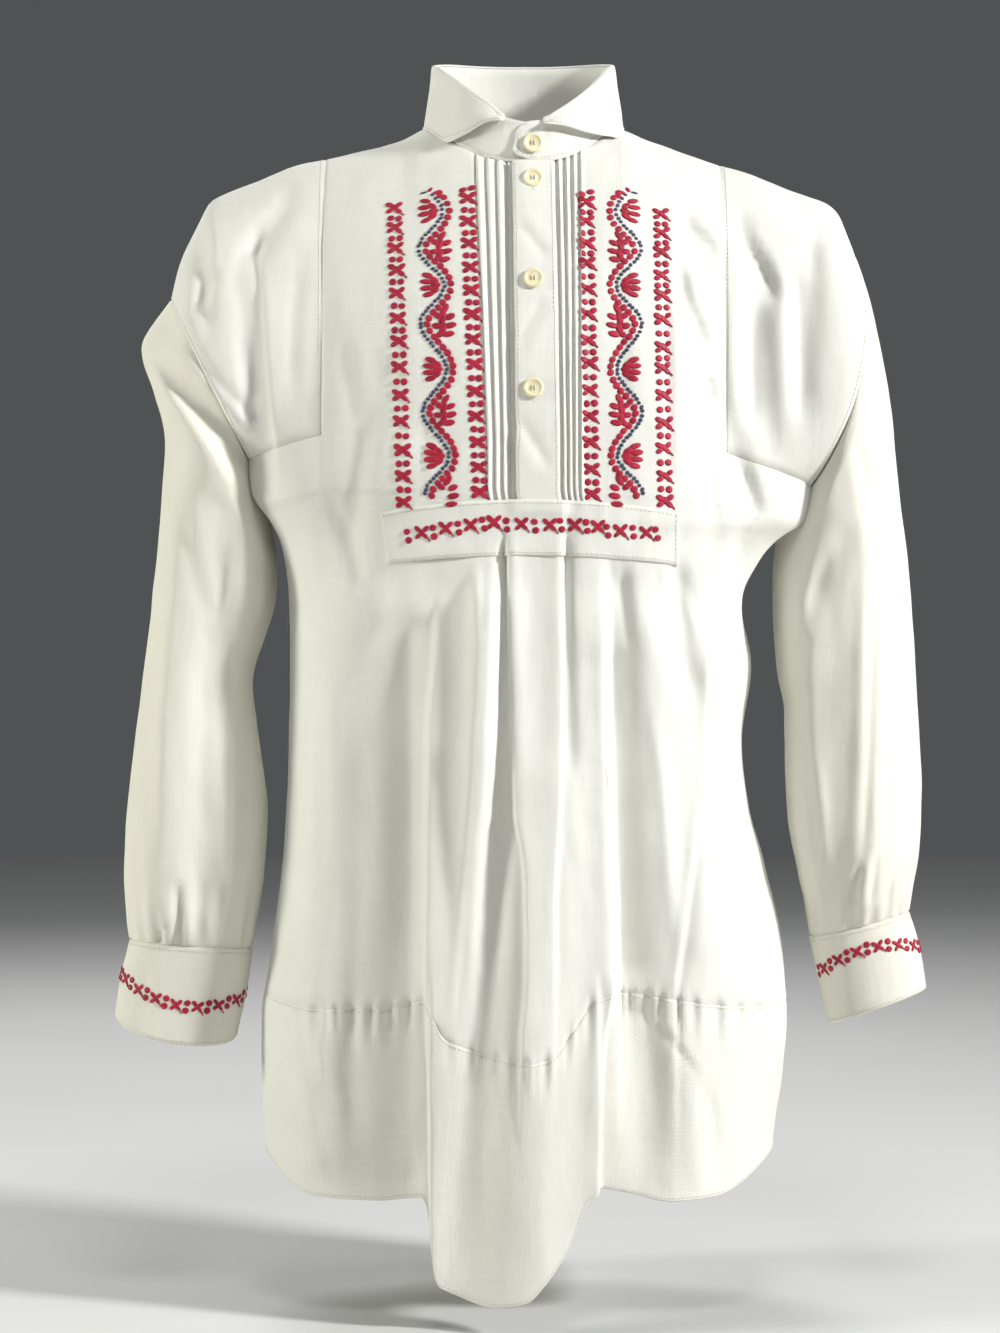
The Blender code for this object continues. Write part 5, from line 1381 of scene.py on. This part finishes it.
def make_sleeve(name, side, rows, seed):
    """A sleeve from the cuff up, gathered at the cuff; the one on the +X side opens into its slit."""
    v = rows_between(SLEEVE_LENGTH, SLEEVE_ROW_STEP)
    turns = np.linspace(0, 2 * math.pi, RING_STEPS)
    opened = SLIT_HALF_ANGLE * ease((v - SLIT_FROM) / SLIT_WIDENS_OVER) if side > 0 else 0 * v
    opened = opened[:, None]
    turn = opened + (2 * math.pi - 2 * opened) * turns / (2 * math.pi)
    points = press(ring_point(side, ring_rows(rows, v), turn))[::-1, ::side]
    turn = turn[::-1, ::side]
    near_cuff = ease((v - CUFF_GATHERS_FROM) / CUFF_GATHERS_GROW_OVER)
    near_cuff = near_cuff * ease((1 - v) / CUFF_GATHERS_END_OVER)
    wave = np.cos(CUFF_GATHERS * turn + 1.3 * np.sin(3 * turn)) * (0.7 + 0.3 * np.sin(5 * turn + side))
    gathers = CUFF_GATHER_DEPTH * near_cuff[::-1, None] * wave
    points = crumpled(points + normals_of(points, 1) * gathers[..., None], 1, seed, SLEEVE_CRUMPLES)
    return Panel(name, points, -1, rise=grooves(points, (0, 1)))


def make_cuff(name, side, rows):
    """A cuff from its lower edge up, whose edges stand a little proud."""
    v = rows_between(CUFF_LENGTH, CUFF_ROW_STEP)
    opened = SLIT_HALF_ANGLE if side > 0 else 0.0
    turn = np.linspace(opened, 2 * math.pi - opened, RING_STEPS)
    points = ring_point(side, ring_rows(rows, v), turn[None] + 0 * v[:, None])
    points[..., 2] -= CUFF_FRONT_DROP[side] * v[:, None] * np.maximum(np.sin(turn), 0)
    points = crumpled(points[::-1, ::side], 1, 51.0 + side, CUFF_CRUMPLES)
    run = lengths_along(points, 0)
    rise = CUFF_PROUD * ease(np.minimum(run, run[-1:] - run) / CUFF_EDGE + CUFF_EDGE_START)
    return Panel(name, points, -1, thickness=DOUBLE_CLOTH, rise=rise)


def neck_plan(angle, half_width, front, back):
    """A point of an oval about the neck, seen from above."""
    depth = np.where(np.cos(angle) > 0, front, back)
    return half_width * np.sin(angle), -depth * np.cos(angle)


def plan_outward(angle, plan):
    """The way out from such an oval."""
    x0, y0 = neck_plan(angle - ANGLE_STEP, *plan)
    x1, y1 = neck_plan(angle + ANGLE_STEP, *plan)
    length = np.hypot(x1 - x0, y1 - y0)
    return (y1 - y0) / length, -(x1 - x0) / length


def neck_z(x, y):
    """Height of the body's cloth at a place near the neck."""
    angle = angle_of(x)
    front, back = (np.abs(arch(angle, 0 * angle, face)[..., 1]) for face in (-1, 1))
    depth = np.where(y < 0, front, back)
    base = chest_z(angle)
    return base + (ridge_z(x) - base) * np.sqrt(1 - np.minimum(np.abs(y) / depth, 1) ** 2)


def collar_value(angle, name):
    """A value of the collar's table at an angle about the neck, from the front through +X."""
    degrees = np.degrees(angle) % 360
    return of_its_side(degrees > 180, np.minimum(degrees, 360 - degrees), COLLAR, "angle", name)


def make_stand():
    """The collar's stand, whose +X end laps over in front as a rounded tab."""
    end = math.radians(OVER_END - 360)
    angle = np.linspace(math.radians(UNDER_END), end, STAND_STEPS)
    angle = np.concatenate([angle[:-8], np.linspace(angle[-8], end, STAND_END_STEPS)])
    lap = OVERLAP_STEP * ease((math.radians(STAND_LAP_FROM) - angle) / math.radians(LAP_TURN))
    x0, y0 = neck_plan(angle, *(size - STAND_INSET for size in NECK_PLAN))
    x1, y1 = neck_plan(angle, *FOLD_PLAN)
    out_x, out_y = plan_outward(angle, NECK_PLAN)
    end_x = neck_plan(np.array([end]), *NECK_PLAN)[0][0]
    from_end = np.minimum(np.abs(x0 - end_x), TAB_ROUNDING)
    rounding = TAB_ROUNDING - np.sqrt(TAB_ROUNDING ** 2 - (TAB_ROUNDING - from_end) ** 2)
    rounding = np.where(angle < math.radians(TAB_FROM), np.minimum(rounding, TAB_ROUNDING_MOST), 0)
    top = collar_value(angle, "fold") - rounding
    low = neck_z(x0, y0) - STAND_TUCKED_IN + rounding * TAB_LOW_SHARE
    rows = []
    for share in np.linspace(0, 1, STAND_ROWS):
        lean = share ** STAND_LEAN_POWER
        x = x0 + (x1 - x0) * lean + out_x * lap
        y = y0 + (y1 - y0) * lean + out_y * lap
        rows.append(np.stack([x, y, low + (top - low) * share], axis=-1))
    return Panel("stand_linen", np.array(rows)[:, ::-1], -1, thickness=DOUBLE_CLOTH)


def make_leaf():
    """The collar's leaf: rolls over the stand's top edge and falls outside it, cut away in front."""
    start = math.radians(LEAF_START)
    angle = np.linspace(start, 2 * math.pi - start, LEAF_STEPS)
    x1, y1 = neck_plan(angle, *FOLD_PLAN)
    out_x, out_y = plan_outward(angle, FOLD_PLAN)
    top = collar_value(angle, "fold")
    leaf = collar_value(angle, "leaf")
    lap = OVERLAP_STEP * ease((math.radians(LEAF_LAP_FROM) - angle) / math.radians(LAP_TURN))
    keys = np.arange(len(LEAF_PROFILE["out"]), dtype=float)
    middle, spread, more = LEAF_FLARE
    flare = 1 + more * np.exp(-((np.degrees(angle) - middle) / spread) ** 2)
    rows = []
    for at in np.linspace(0, keys[-1], LEAF_ROWS):
        out, drop, share = (smooth(at, keys, LEAF_PROFILE[name]) for name in ("out", "drop", "share"))
        x = x1 + out_x * (out * flare + lap)
        y = y1 + out_y * (out * flare + lap)
        fall = top + drop - (leaf - LEAF_ROLL) * share
        rows.append(np.stack([x, y, np.maximum(fall, neck_z(x, y) + LEAF_CLEAR)], axis=-1))
    points = crumpled(np.array(rows)[::-1], 1, 61.0, LEAF_CRUMPLES)
    return Panel("leaf_linen", points, -1, thickness=DOUBLE_CLOTH)


def make_strip(name, inset, lift):
    """A narrow upright strip lying on the front."""
    z = np.linspace(PLACKET_Z[1], PLACKET_Z[0], STRIP_GRID[0])
    x = np.linspace(PLACKET_X[0] + inset, PLACKET_X[1] - inset, STRIP_GRID[1])
    z, x = np.meshgrid(z, x, indexing="ij")
    points = press(front_at(x, z))
    return Panel(name, points + normals_of(points, 1) * lift, -1)


def make_breast_band():
    """The band across the breast, lifted over the placket's low end."""
    u, v = np.meshgrid(*(np.linspace(0, 1, steps) for steps in BAND_GRID))
    x_low = BAND_LOW_X[0] + (BAND_LOW_X[1] - BAND_LOW_X[0]) * u
    x_top = BAND_X[0] + (BAND_X[1] - BAND_X[0]) * u
    x = x_low + (x_top - x_low) * v
    top, low = band_edges(x)
    points = press(front_at_x(x, low + (top - low) * v))
    over_placket = ease((x - PLACKET_X[0] + BAND_STEP_RUN) / BAND_STEP_RUN)
    over_placket = over_placket * ease((PLACKET_X[1] + BAND_STEP_RUN - x) / BAND_STEP_RUN)
    above_end = points[..., 2] - PLACKET_Z[1] + BAND_STEP_BELOW
    over_placket = over_placket * ease(above_end / BAND_STEP_RUN)
    ripple = BAND_RIPPLE * uneven(points, *BAND_RIPPLES, 43.0)
    lift = BAND_LIFT + BAND_STEP * over_placket + ripple
    return Panel("breast_band_linen", points + normals_of(points, 1) * lift[..., None], -1)


# The chart of the embroidery, in millimetres about each motif's middle
STITCH_NAMES = "across up length width slant"
CROSS = table(
    STITCH_NAMES,
    (-3.3, 2.0, 6.2, 4.2, -24), (3.4, 2.3, 5.8, 4.0, 32), (0.2, 0.2, 6.8, 4.6, -36),
    (-3.1, -2.1, 5.8, 3.8, 28), (2.8, -2.2, 6.0, 3.8, -34), (5.6, -4.4, 3.6, 1.4, -42),
)
ROW_CROSS = table(
    STITCH_NAMES,
    (-2.6, 2.4, 5.4, 3.4, -40), (2.7, 2.5, 5.4, 3.3, 44), (0.1, 0.0, 6.0, 4.0, -46),
    (-2.3, -2.3, 4.8, 3.0, 40), (2.4, -2.2, 4.6, 2.8, -44), (4.6, -4.4, 4.2, 1.1, -52),
)
SMALL_MOTIF = table(
    STITCH_NAMES,
    (-12.6, 7.2, 9.4, 4.6, -18), (-13.6, 2.5, 10.6, 4.7, -5), (-13.5, -2.3, 10.6, 4.7, 5),
    (-12.2, -7.0, 9.4, 4.6, 15), (-7.6, 3.6, 8.0, 5.0, -36), (-6.8, -0.2, 8.4, 5.0, 6),
    (-7.4, -3.8, 7.8, 5.0, 32),
)
LARGE_MOTIF = table(
    STITCH_NAMES,
    (17.2, 10.0, 9.2, 4.8, 54), (21.0, 4.8, 8.0, 4.8, 22), (21.2, -1.4, 9.4, 4.8, 10),
    (19.6, -7.6, 9.8, 4.8, 6), (12.2, 5.4, 7.2, 4.8, -30), (11.4, -1.8, 7.0, 4.8, -6),
    (15.8, 3.6, 9.8, 5.6, 74), (16.0, -3.6, 9.4, 5.6, 68), (13.8, -7.8, 6.8, 4.6, 30),
)
# Each column of crosses: its place across at its top and low end, and those ends, in the photograph's frame
COLUMN_ENDS = ((394, 404, 202, 507), (467, 480, 188, 497), (586, 592, 190, 500), (661, 665, 207, 507))
CROSS_ROWS = (
    (208, 227.5, 248, 270, 293, 318, 341, 367, 395, 421, 450, 476, 502),
    (198, 221, 243, 267, 290, 314, 339, 364, 391, 416, 442, 467, 492),
    (202, 221, 243, 263, 289, 314, 340, 363, 390, 416, 442, 469, 494),
    (214, 233, 252, 275, 295, 319, 347, 368, 395, 423, 448, 476, 501),
)
BAND_CROSSES = (
    (421.5, 532.7), (445.6, 528.4), (470.6, 525), (493.9, 522.4), (521.4, 524),
    (549.8, 525), (574.8, 525), (598, 526.7), (620.4, 531), (646.3, 532.7),
)
BAND_PAIRS = (
    (407.7, 536), (433.6, 532), (458.5, 528), (483.5, 524), (506.8, 525), (535.2, 526),
    (561, 525), (586.8, 526.5), (607.5, 531), (633.3, 532), (656.6, 533.7),
)
# Heights of the winding lines' bends, and each line's place across and its drift down the breast, by mirror
VINE_BENDS = (211, 249.3, 285, 323.3, 369.2, 412.6, 456, 494)
VINES = {1: (430.0, 7.5), -1: (628.5, 2.0)}
VINE_SWING = 12.5
VINE_TOP_BEND = 38.0
VINE_STARTS_ABOVE = 16
VINE_ENDS_BELOW = 4
VINE_STEPS = 400
VINE_PITCH = 4.5
TWIN_PITCH = 7.0
TWIN_AWAY = 6.6
TOP_PAIR_RISE = 9.0
# Height of a cuff's row (share of the cuff from its lower edge), its lean and its bow in front
CUFF_ROW = {-1: (0.525, -0.055, -0.12), 1: (0.560, 0.030, 0.14)}
CUFF_PITCH = 0.0165
STITCH_HEIGHT = 0.0013
DOT = 5.3
BLUE_DOT = 3.4
CUFF_PAIR = table(STITCH_NAMES, (0.3, 3.1, DOT, DOT - 0.3, 15), (-0.3, -3.1, DOT, DOT - 0.3, -10))
# The breast stands this much nearer than the frame's own scale
BREAST_NEARER = 0.955
PIXELS_A_MM = 1 / (PIXEL * 1000 * BREAST_NEARER)


class Cloths:
    """Finds the place on the outer cloth that shows at a pixel of the photograph's frame."""

    def __init__(self, panels):
        points = []
        faces = []
        for panel in panels:
            quads = quads_of(*panel.points.shape[:2]) + sum(len(part) for part in points)
            faces += quads[panel.keep].tolist()
            points.append(panel.outer().reshape(-1, 3))
        self.tree = BVHTree.FromPolygons(np.vstack(points).tolist(), faces)

    def at(self, px, py):
        aim = np.array([(px - FRAME_MIDDLE[0]) * PIXEL, -EYE[1], -(py - FRAME_MIDDLE[1]) * PIXEL])
        place, normal, _, _ = self.tree.ray_cast(Vector(EYE), Vector(aim))
        if place is None:
            return None
        normal = np.array(normal)
        return np.array(place), normal if normal @ aim < 0 else -normal


def oval(stitches, cloths, px, py, length, width, slant):
    """One oval stitch at a pixel, sizes in millimetres, slant in degrees up from +X."""
    found = cloths.at(px, py)
    if found is None:
        return
    place, out = found
    flat = np.array([math.cos(math.radians(slant)), 0.0, math.sin(math.radians(slant))])
    way = unit(flat - out * (flat @ out))
    stitches.lay(place, way, out, length / 1000, width / 1000, STITCH_HEIGHT)


def motif(stitches, cloths, px, py, rows, mirror=1, size=1.0, lean=0.0):
    """A group of ovals about a pixel; mirror -1 turns it left for right."""
    for across, up, length, width, slant in zip(*rows.values()):
        x = px + (mirror * across * size + lean * up) * PIXELS_A_MM
        y = py - up * size * PIXELS_A_MM
        oval(stitches, cloths, x, y, length * size, width * size, mirror * slant)


def wobble(number):
    """A small repeatable difference between one motif and the next, from -1 to 1."""
    return math.sin(number * 12.9898) * math.cos(number * 4.1414)


def embroider_columns(red, cloths):
    """Four columns of crosses, with a pair of dots between one cross and the next."""
    for k, (px_top, px_low, py_top, py_low) in enumerate(COLUMN_ENDS):
        rows = CROSS_ROWS[k]
        for i, py in enumerate(rows):
            px = px_top + (px_low - px_top) * (py - py_top) / (py_low - py_top)
            size = 1.08 + 0.07 * wobble(i + 20 * k)
            motif(red, cloths, px + 0.5 * wobble(i + 3 * k), py, CROSS, 1, size, 0.05 * wobble(i + 9))
            if i:
                middle = (py + rows[i - 1]) / 2 + 0.6
                for side in (-1, 1):
                    x = px + side * (3.9 + 0.4 * wobble(i + side))
                    y = middle + 0.5 * wobble(2 * i + side)
                    oval(red, cloths, x, y, DOT + 0.4, DOT, 12 * wobble(i * side))
            elif k in (1, 2):
                for side in (-1, 1):
                    y = py - TOP_PAIR_RISE - side
                    oval(red, cloths, px + 4.4 * side, y, DOT + 1.2, DOT - 0.4, 14)


def embroider_band(red, cloths):
    """The breast band's row of crosses, with its pairs of dots."""
    for i, (px, py) in enumerate(BAND_CROSSES):
        motif(red, cloths, px, py, ROW_CROSS, 1, 1.14 + 0.06 * wobble(i))
    for i, (px, py) in enumerate(BAND_PAIRS):
        for side in (-1, 1):
            x = px + side * (0.8 + 0.5 * wobble(i))
            oval(red, cloths, x, py + side * 4.3, DOT + 0.2, DOT - 0.2, 20 * wobble(i + side))


def embroider_vine(red, blue, cloths, mirror):
    """A winding line of small dark dots with red dots beside it and a leaf motif in each bend."""
    centre, drift = VINES[mirror]
    first, last = VINE_BENDS[0], VINE_BENDS[-1]
    bends = np.arange(len(VINE_BENDS))
    py = np.linspace(first - VINE_STARTS_ABOVE, last + VINE_ENDS_BELOW, VINE_STEPS)
    phase = np.where(py < first, (py - first) / VINE_TOP_BEND, np.interp(py, VINE_BENDS, bends))
    px = centre + drift * (py - first) / (last - first) + mirror * VINE_SWING * np.cos(math.pi * phase)
    line = np.stack([px, py], axis=-1)
    run = lengths_along(line, 0)
    for i, at in enumerate(np.arange(0, run[-1], VINE_PITCH)):
        x, y = value_at(at, run, line) + 0.5 * np.array([wobble(i), wobble(i + 5)])
        oval(blue, cloths, x, y, BLUE_DOT + 0.4 * wobble(i), BLUE_DOT - 0.4, 60 * wobble(i))
    ahead = unit(np.gradient(line, axis=0))
    twin = line + np.stack([mirror * ahead[:, 1], -mirror * ahead[:, 0]], axis=-1) * TWIN_AWAY
    run = lengths_along(twin, 0)
    for i, at in enumerate(np.arange(3, run[-1], TWIN_PITCH)):
        x, y = value_at(at, run, twin) + 0.4 * np.array([wobble(i), wobble(i + 3)])
        oval(red, cloths, x, y, DOT + 0.6, DOT - 0.2, -40 * mirror)
    for i, bend in enumerate(VINE_BENDS):
        x = centre + drift * (bend - first) / (last - first) + mirror * VINE_SWING * (-1) ** i
        rows = LARGE_MOTIF if i % 2 else SMALL_MOTIF
        if bend == last:
            rows = {name: values[:5] for name, values in rows.items()}
        motif(red, cloths, x, bend, rows, mirror, 1 + 0.05 * wobble(i), 0.04 * wobble(i + 2))
    oval(blue, cloths, px[0] - mirror * 9, py[0] - 2, 6.0, 2.0, 5 * mirror)
    for dx, dy, slant in ((-2.5, -5, 55), (2.5, -2, 20), (6.5, 1.5, 30)):
        oval(red, cloths, px[0] + mirror * dx, py[0] + dy, 5.0, 3.2, mirror * slant)


def embroider_cuff(red, panel, side):
    """Crosses and pairs of dots all round a cuff, along a gently bent line."""
    middle, lean, bow = CUFF_ROW[side]
    count_rows, count_columns = panel.points.shape[:2]
    turn = np.linspace(0, 2 * math.pi, count_columns)[::side]
    height = (count_rows - 1) * (middle + lean * np.cos(turn) + bow * np.maximum(np.sin(turn), 0) ** 2)
    below = height.astype(int)
    part = (height - below)[:, None]
    column = np.arange(count_columns)
    outer = panel.outer()
    line = outer[below, column] * (1 - part) + outer[below + 1, column] * part
    upward = unit(outer[below + 1, column] - outer[below, column])
    sources = (line, panel.normals[below, column], upward)
    run = lengths_along(line, 0)
    count = int(run[-1] / CUFF_PITCH)
    for i in range(2 * count - 1):
        at = (i + 0.75) * (run[-1] / count) / 2
        place, out, up = (value_at(at, run, source) for source in sources)
        across = unit(np.cross(up, out))
        for dx, dy, length, width, slant in zip(*(ROW_CROSS if i % 2 else CUFF_PAIR).values()):
            lean = math.radians(slant + 8 * wobble(i + dx))
            way = across * math.cos(lean) + up * math.sin(lean)
            spot = place + (across * dx + up * (dy + 0.3 * wobble(i))) * 0.95 / 1000
            red.lay(spot, way, out, length / 1000, width / 1000, STITCH_HEIGHT)


TOPSTITCH = dict(length=0.0026, gap=0.0009, width=0.00075, height=0.0006)
# Where the rows of topstitching run: the panel, and its rows (axis 0) or its columns (axis 1)
TOPSTITCHED = (
    ("band", 0, (1, -2)), ("band", 1, (1, -2)), ("placket_over", 1, (1, -2)),
    ("cuff_minus", 0, (2, -4)), ("cuff_plus", 0, (2, -4)),
    ("tail_front", 0, (2, -3)), ("tail_back", 0, (2, -3)),
    ("leaf", 0, (1,)), ("leaf", 1, (2, -3)), ("stand", 0, (1,)), ("stand", 1, (3,)),
    ("shoulder_minus", 1, (1, -2)), ("shoulder_plus", 1, (1, -2)),
)

# Buttons
BUTTON_STEPS = 40
BUTTON_FACE = 0.0015
BUTTON_RINGS = table(
    "radius height",
    (0.0066, 0.0000), (0.0073, 0.0004), (0.0075, 0.0011), (0.0073, 0.0018), (0.0066, 0.0023),
    (0.0057, 0.0022), (0.0051, 0.0017), (0.0040, 0.0015), (0.0020, BUTTON_FACE),
)
HOLE_PLACES = ((-0.0011, 0.0011), (0.0011, 0.0011), (0.0011, -0.0011), (-0.0011, -0.0011))
# A button's threads: height over its back, then length, width and height of the stitch
HOLE_THREAD = (0.0016, (0.0016, 0.0016, 0.0006))
CROSSING_THREAD = (0.0019, (0.0034, 0.0009, 0.0009))
LOOSE_THREAD = (0.0006, (0.0070, 0.0032, 0.0014))
LOOSE_THREAD_BELOW = 0.0105
FACING_OUT = -0.75


def topstitch_all(cream, panels):
    """Rows of running stitches beside the seams and edges."""
    for name, axis, places in TOPSTITCHED:
        outer, normals = panels[name].outer(), panels[name].normals
        for place in places:
            cream.along(outer.take(place, axis), normals.take(place, axis), **TOPSTITCH)


def make_button(name, node, made_of, thread):
    """A flat sewn-through button in its solid's place, with a raised edge and four holes of thread."""
    low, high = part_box(node)
    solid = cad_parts[node].data
    normals = np.zeros(len(solid.polygons) * 3)
    solid.polygons.foreach_get("normal", normals)
    normals = normals.reshape(-1, 3)
    areas = np.array([face.area for face in solid.polygons])
    forward = normals[:, 1] < FACING_OUT
    outward = unit((normals[forward] * areas[forward, None]).sum(axis=0))
    across = -unit(np.cross(outward, (0.0, 0.0, 1.0)))
    upward = np.cross(outward, across)
    along = np.array([vertex.co for vertex in solid.vertices]) @ outward
    base = (np.array(low) + np.array(high)) / 2
    base = base + outward * (along.min() - base @ outward)
    turns = np.arange(BUTTON_STEPS) * 2 * math.pi / BUTTON_STEPS
    circle = np.cos(turns)[:, None] * across + np.sin(turns)[:, None] * upward
    rings = [
        base + circle * radius + outward * height
        for radius, height in zip(*BUTTON_RINGS.values())
    ]
    points = np.vstack([base, *rings, base + outward * BUTTON_FACE])
    faces = []
    for r in range(len(rings) - 1):
        for i in range(BUTTON_STEPS):
            a = 1 + r * BUTTON_STEPS + i
            b = 1 + r * BUTTON_STEPS + (i + 1) % BUTTON_STEPS
            faces.append((a, b, b + BUTTON_STEPS, a + BUTTON_STEPS))
    last = len(points) - 1
    for i in range(BUTTON_STEPS):
        j = (i + 1) % BUTTON_STEPS
        faces += [(0, 1 + j, 1 + i), (last - BUTTON_STEPS + i, last - BUTTON_STEPS + j, last)]
    mesh = bpy.data.meshes.new(name)
    mesh.from_pydata(points, [], faces)
    mesh.update()
    mesh.shade_smooth()
    made = finish_piece(name, mesh, made_of)
    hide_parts(node)

    def lay(dx, dz, way, kind):
        height, sizes = kind
        thread.lay(base + across * dx + upward * dz + outward * height, way, outward, *sizes)

    for dx, dz in HOLE_PLACES:
        lay(dx, dz, upward, HOLE_THREAD)
    if node == "button_1":
        lay(0, -LOOSE_THREAD_BELOW, upward, LOOSE_THREAD)
    for dx, _ in HOLE_PLACES[:2]:
        lay(dx, 0, upward, CROSSING_THREAD)
    return made


# Camera, lights and floor
FLOOR_HALF = 6.0
FLOOR_BELOW = 0.02
WORLD_COLOUR = (0.80, 0.86, 0.88, 1)
WORLD_STRENGTH = 0.10
# Name, place, target, size, power and colour
LIGHTS = (
    ("key", (2.8, -1.45, 1.1), (0, 0, -0.40), 0.5, 143, (1.0, 0.995, 0.985)),
    ("top", (0.1, -1.8, 2.2), (0, 0, -0.40), 0.9, 20, (1.0, 1.0, 0.99)),
    ("fill", (-3.0, -0.60, 0.3), (0, 0, -0.45), 0.8, 58, (1.0, 1.0, 0.90)),
    ("back", (-0.6, 2.2, 1.4), (0, 0, -0.35), 1.4, 36, (1.0, 1.0, 1.0)),
)


def make_camera():
    """The photograph's eye: level, with the frame's full height in view."""
    data = bpy.data.cameras.new("camera")
    data.sensor_fit = "VERTICAL"
    data.sensor_height = SENSOR
    data.lens = SENSOR * -EYE[1] / (FRAME_HEIGHT * PIXEL)
    camera = bpy.data.objects.new("camera", data)
    camera.location = EYE
    camera.rotation_euler = (math.pi / 2, 0.0, 0.0)
    bpy.context.scene.collection.objects.link(camera)
    bpy.context.scene.camera = camera


def make_light(name, place, target, size, power, colour):
    """A round soft light at a place, turned to its target."""
    data = bpy.data.lights.new(name, "AREA")
    data.shape = "DISK"
    data.size = size
    data.energy = power
    data.color = colour
    light = bpy.data.objects.new(name, data)
    light.location = place
    light.rotation_euler = (Vector(target) - Vector(place)).to_track_quat("-Z", "Y").to_euler()
    bpy.context.scene.collection.objects.link(light)


def make_surroundings():
    """Floor, world and lights."""
    low, _ = CAD_BOX
    mesh = bpy.data.meshes.new("floor")
    signs = ((-1, -1), (1, -1), (1, 1), (-1, 1))
    corners = [(x * FLOOR_HALF, y * FLOOR_HALF, low[2] - FLOOR_BELOW) for x, y in signs]
    mesh.from_pydata(corners, [], [(0, 1, 2, 3)])
    mesh.materials.append(floor_paper())
    floor = bpy.data.objects.new("floor", mesh)
    bpy.context.scene.collection.objects.link(floor)
    world = bpy.data.worlds.new("studio")
    world.use_nodes = True
    background = world.node_tree.nodes["Background"]
    background.inputs[0].default_value = WORLD_COLOUR
    background.inputs[1].default_value = WORLD_STRENGTH
    bpy.context.scene.world = world
    bpy.context.scene.view_settings.view_transform = "Standard"
    for light in LIGHTS:
        make_light(*light)


def make_panels():
    """Every piece of cloth, in the order it is built."""
    front_angles = front_columns()
    back_angles = back_columns()
    return {
        "front": make_front(front_angles),
        "back": make_back(back_angles),
        "tail_front": make_tail("tail_front_linen", front_angles, -1, 71.0),
        "tail_back": make_tail("tail_back_linen", back_angles, 1, 77.0),
        "shoulder_minus": make_shoulder("shoulder_right_linen", -1),
        "shoulder_plus": make_shoulder("shoulder_left_linen", 1),
        "sleeve_minus": make_sleeve("sleeve_right_linen", -1, SLEEVE_MINUS, 83.0),
        "sleeve_plus": make_sleeve("sleeve_left_linen", 1, SLEEVE_PLUS, 87.0),
        "cuff_minus": make_cuff("cuff_right_linen", -1, CUFF_MINUS),
        "cuff_plus": make_cuff("cuff_left_linen", 1, CUFF_PLUS),
        "stand": make_stand(),
        "leaf": make_leaf(),
        "placket_under": make_strip("placket_under_linen", PLACKET_UNDER_INSET, UNDER_LIFT),
        "placket_over": make_strip("placket_over_linen", 0, OVER_LIFT),
        "band": make_breast_band(),
    }


def build():
    """Makes the whole scene."""
    make_camera()
    make_surroundings()
    body, coarse, warm = (linen(name, *look) for name, look in LINENS.items())
    red, blue, cream = (yarn(name, *look) for name, look in YARNS.items())
    panels = make_panels()
    for key, panel in panels.items():
        coarse_here = key.startswith("tail")
        warm_here = key.startswith(("sleeve", "cuff"))
        made = panel.build(coarse if coarse_here else warm if warm_here else body)
        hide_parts(CUTS[key].node)
    tree = stitch_tree("stitches_on_cloth")
    red_stitches, blue_stitches, cream_stitches = Stitches(), Stitches(), Stitches()
    breast = Cloths([panels[key] for key in ("front", "band", "shoulder_minus", "shoulder_plus")])
    embroider_columns(red_stitches, breast)
    embroider_band(red_stitches, breast)
    for mirror in (1, -1):
        embroider_vine(red_stitches, blue_stitches, breast, mirror)
    embroider_cuff(red_stitches, panels["cuff_minus"], -1)
    embroider_cuff(red_stitches, panels["cuff_plus"], 1)
    topstitch_all(cream_stitches, panels)
    cream_button = button_cream()
    buttons = [
        make_button(name + "_turned", name, cream_button, cream_stitches)
        for name in ("button_collar", "button_1", "button_2", "button_3")
    ]
    sewn = [
        sew("embroidery_red", red_stitches, tree, red),
        sew("embroidery_blue", blue_stitches, tree, blue, Seed=5),
        sew("topstitching", cream_stitches, tree, cream, Segments=6, Rings=4, Seed=8),
    ]


build()
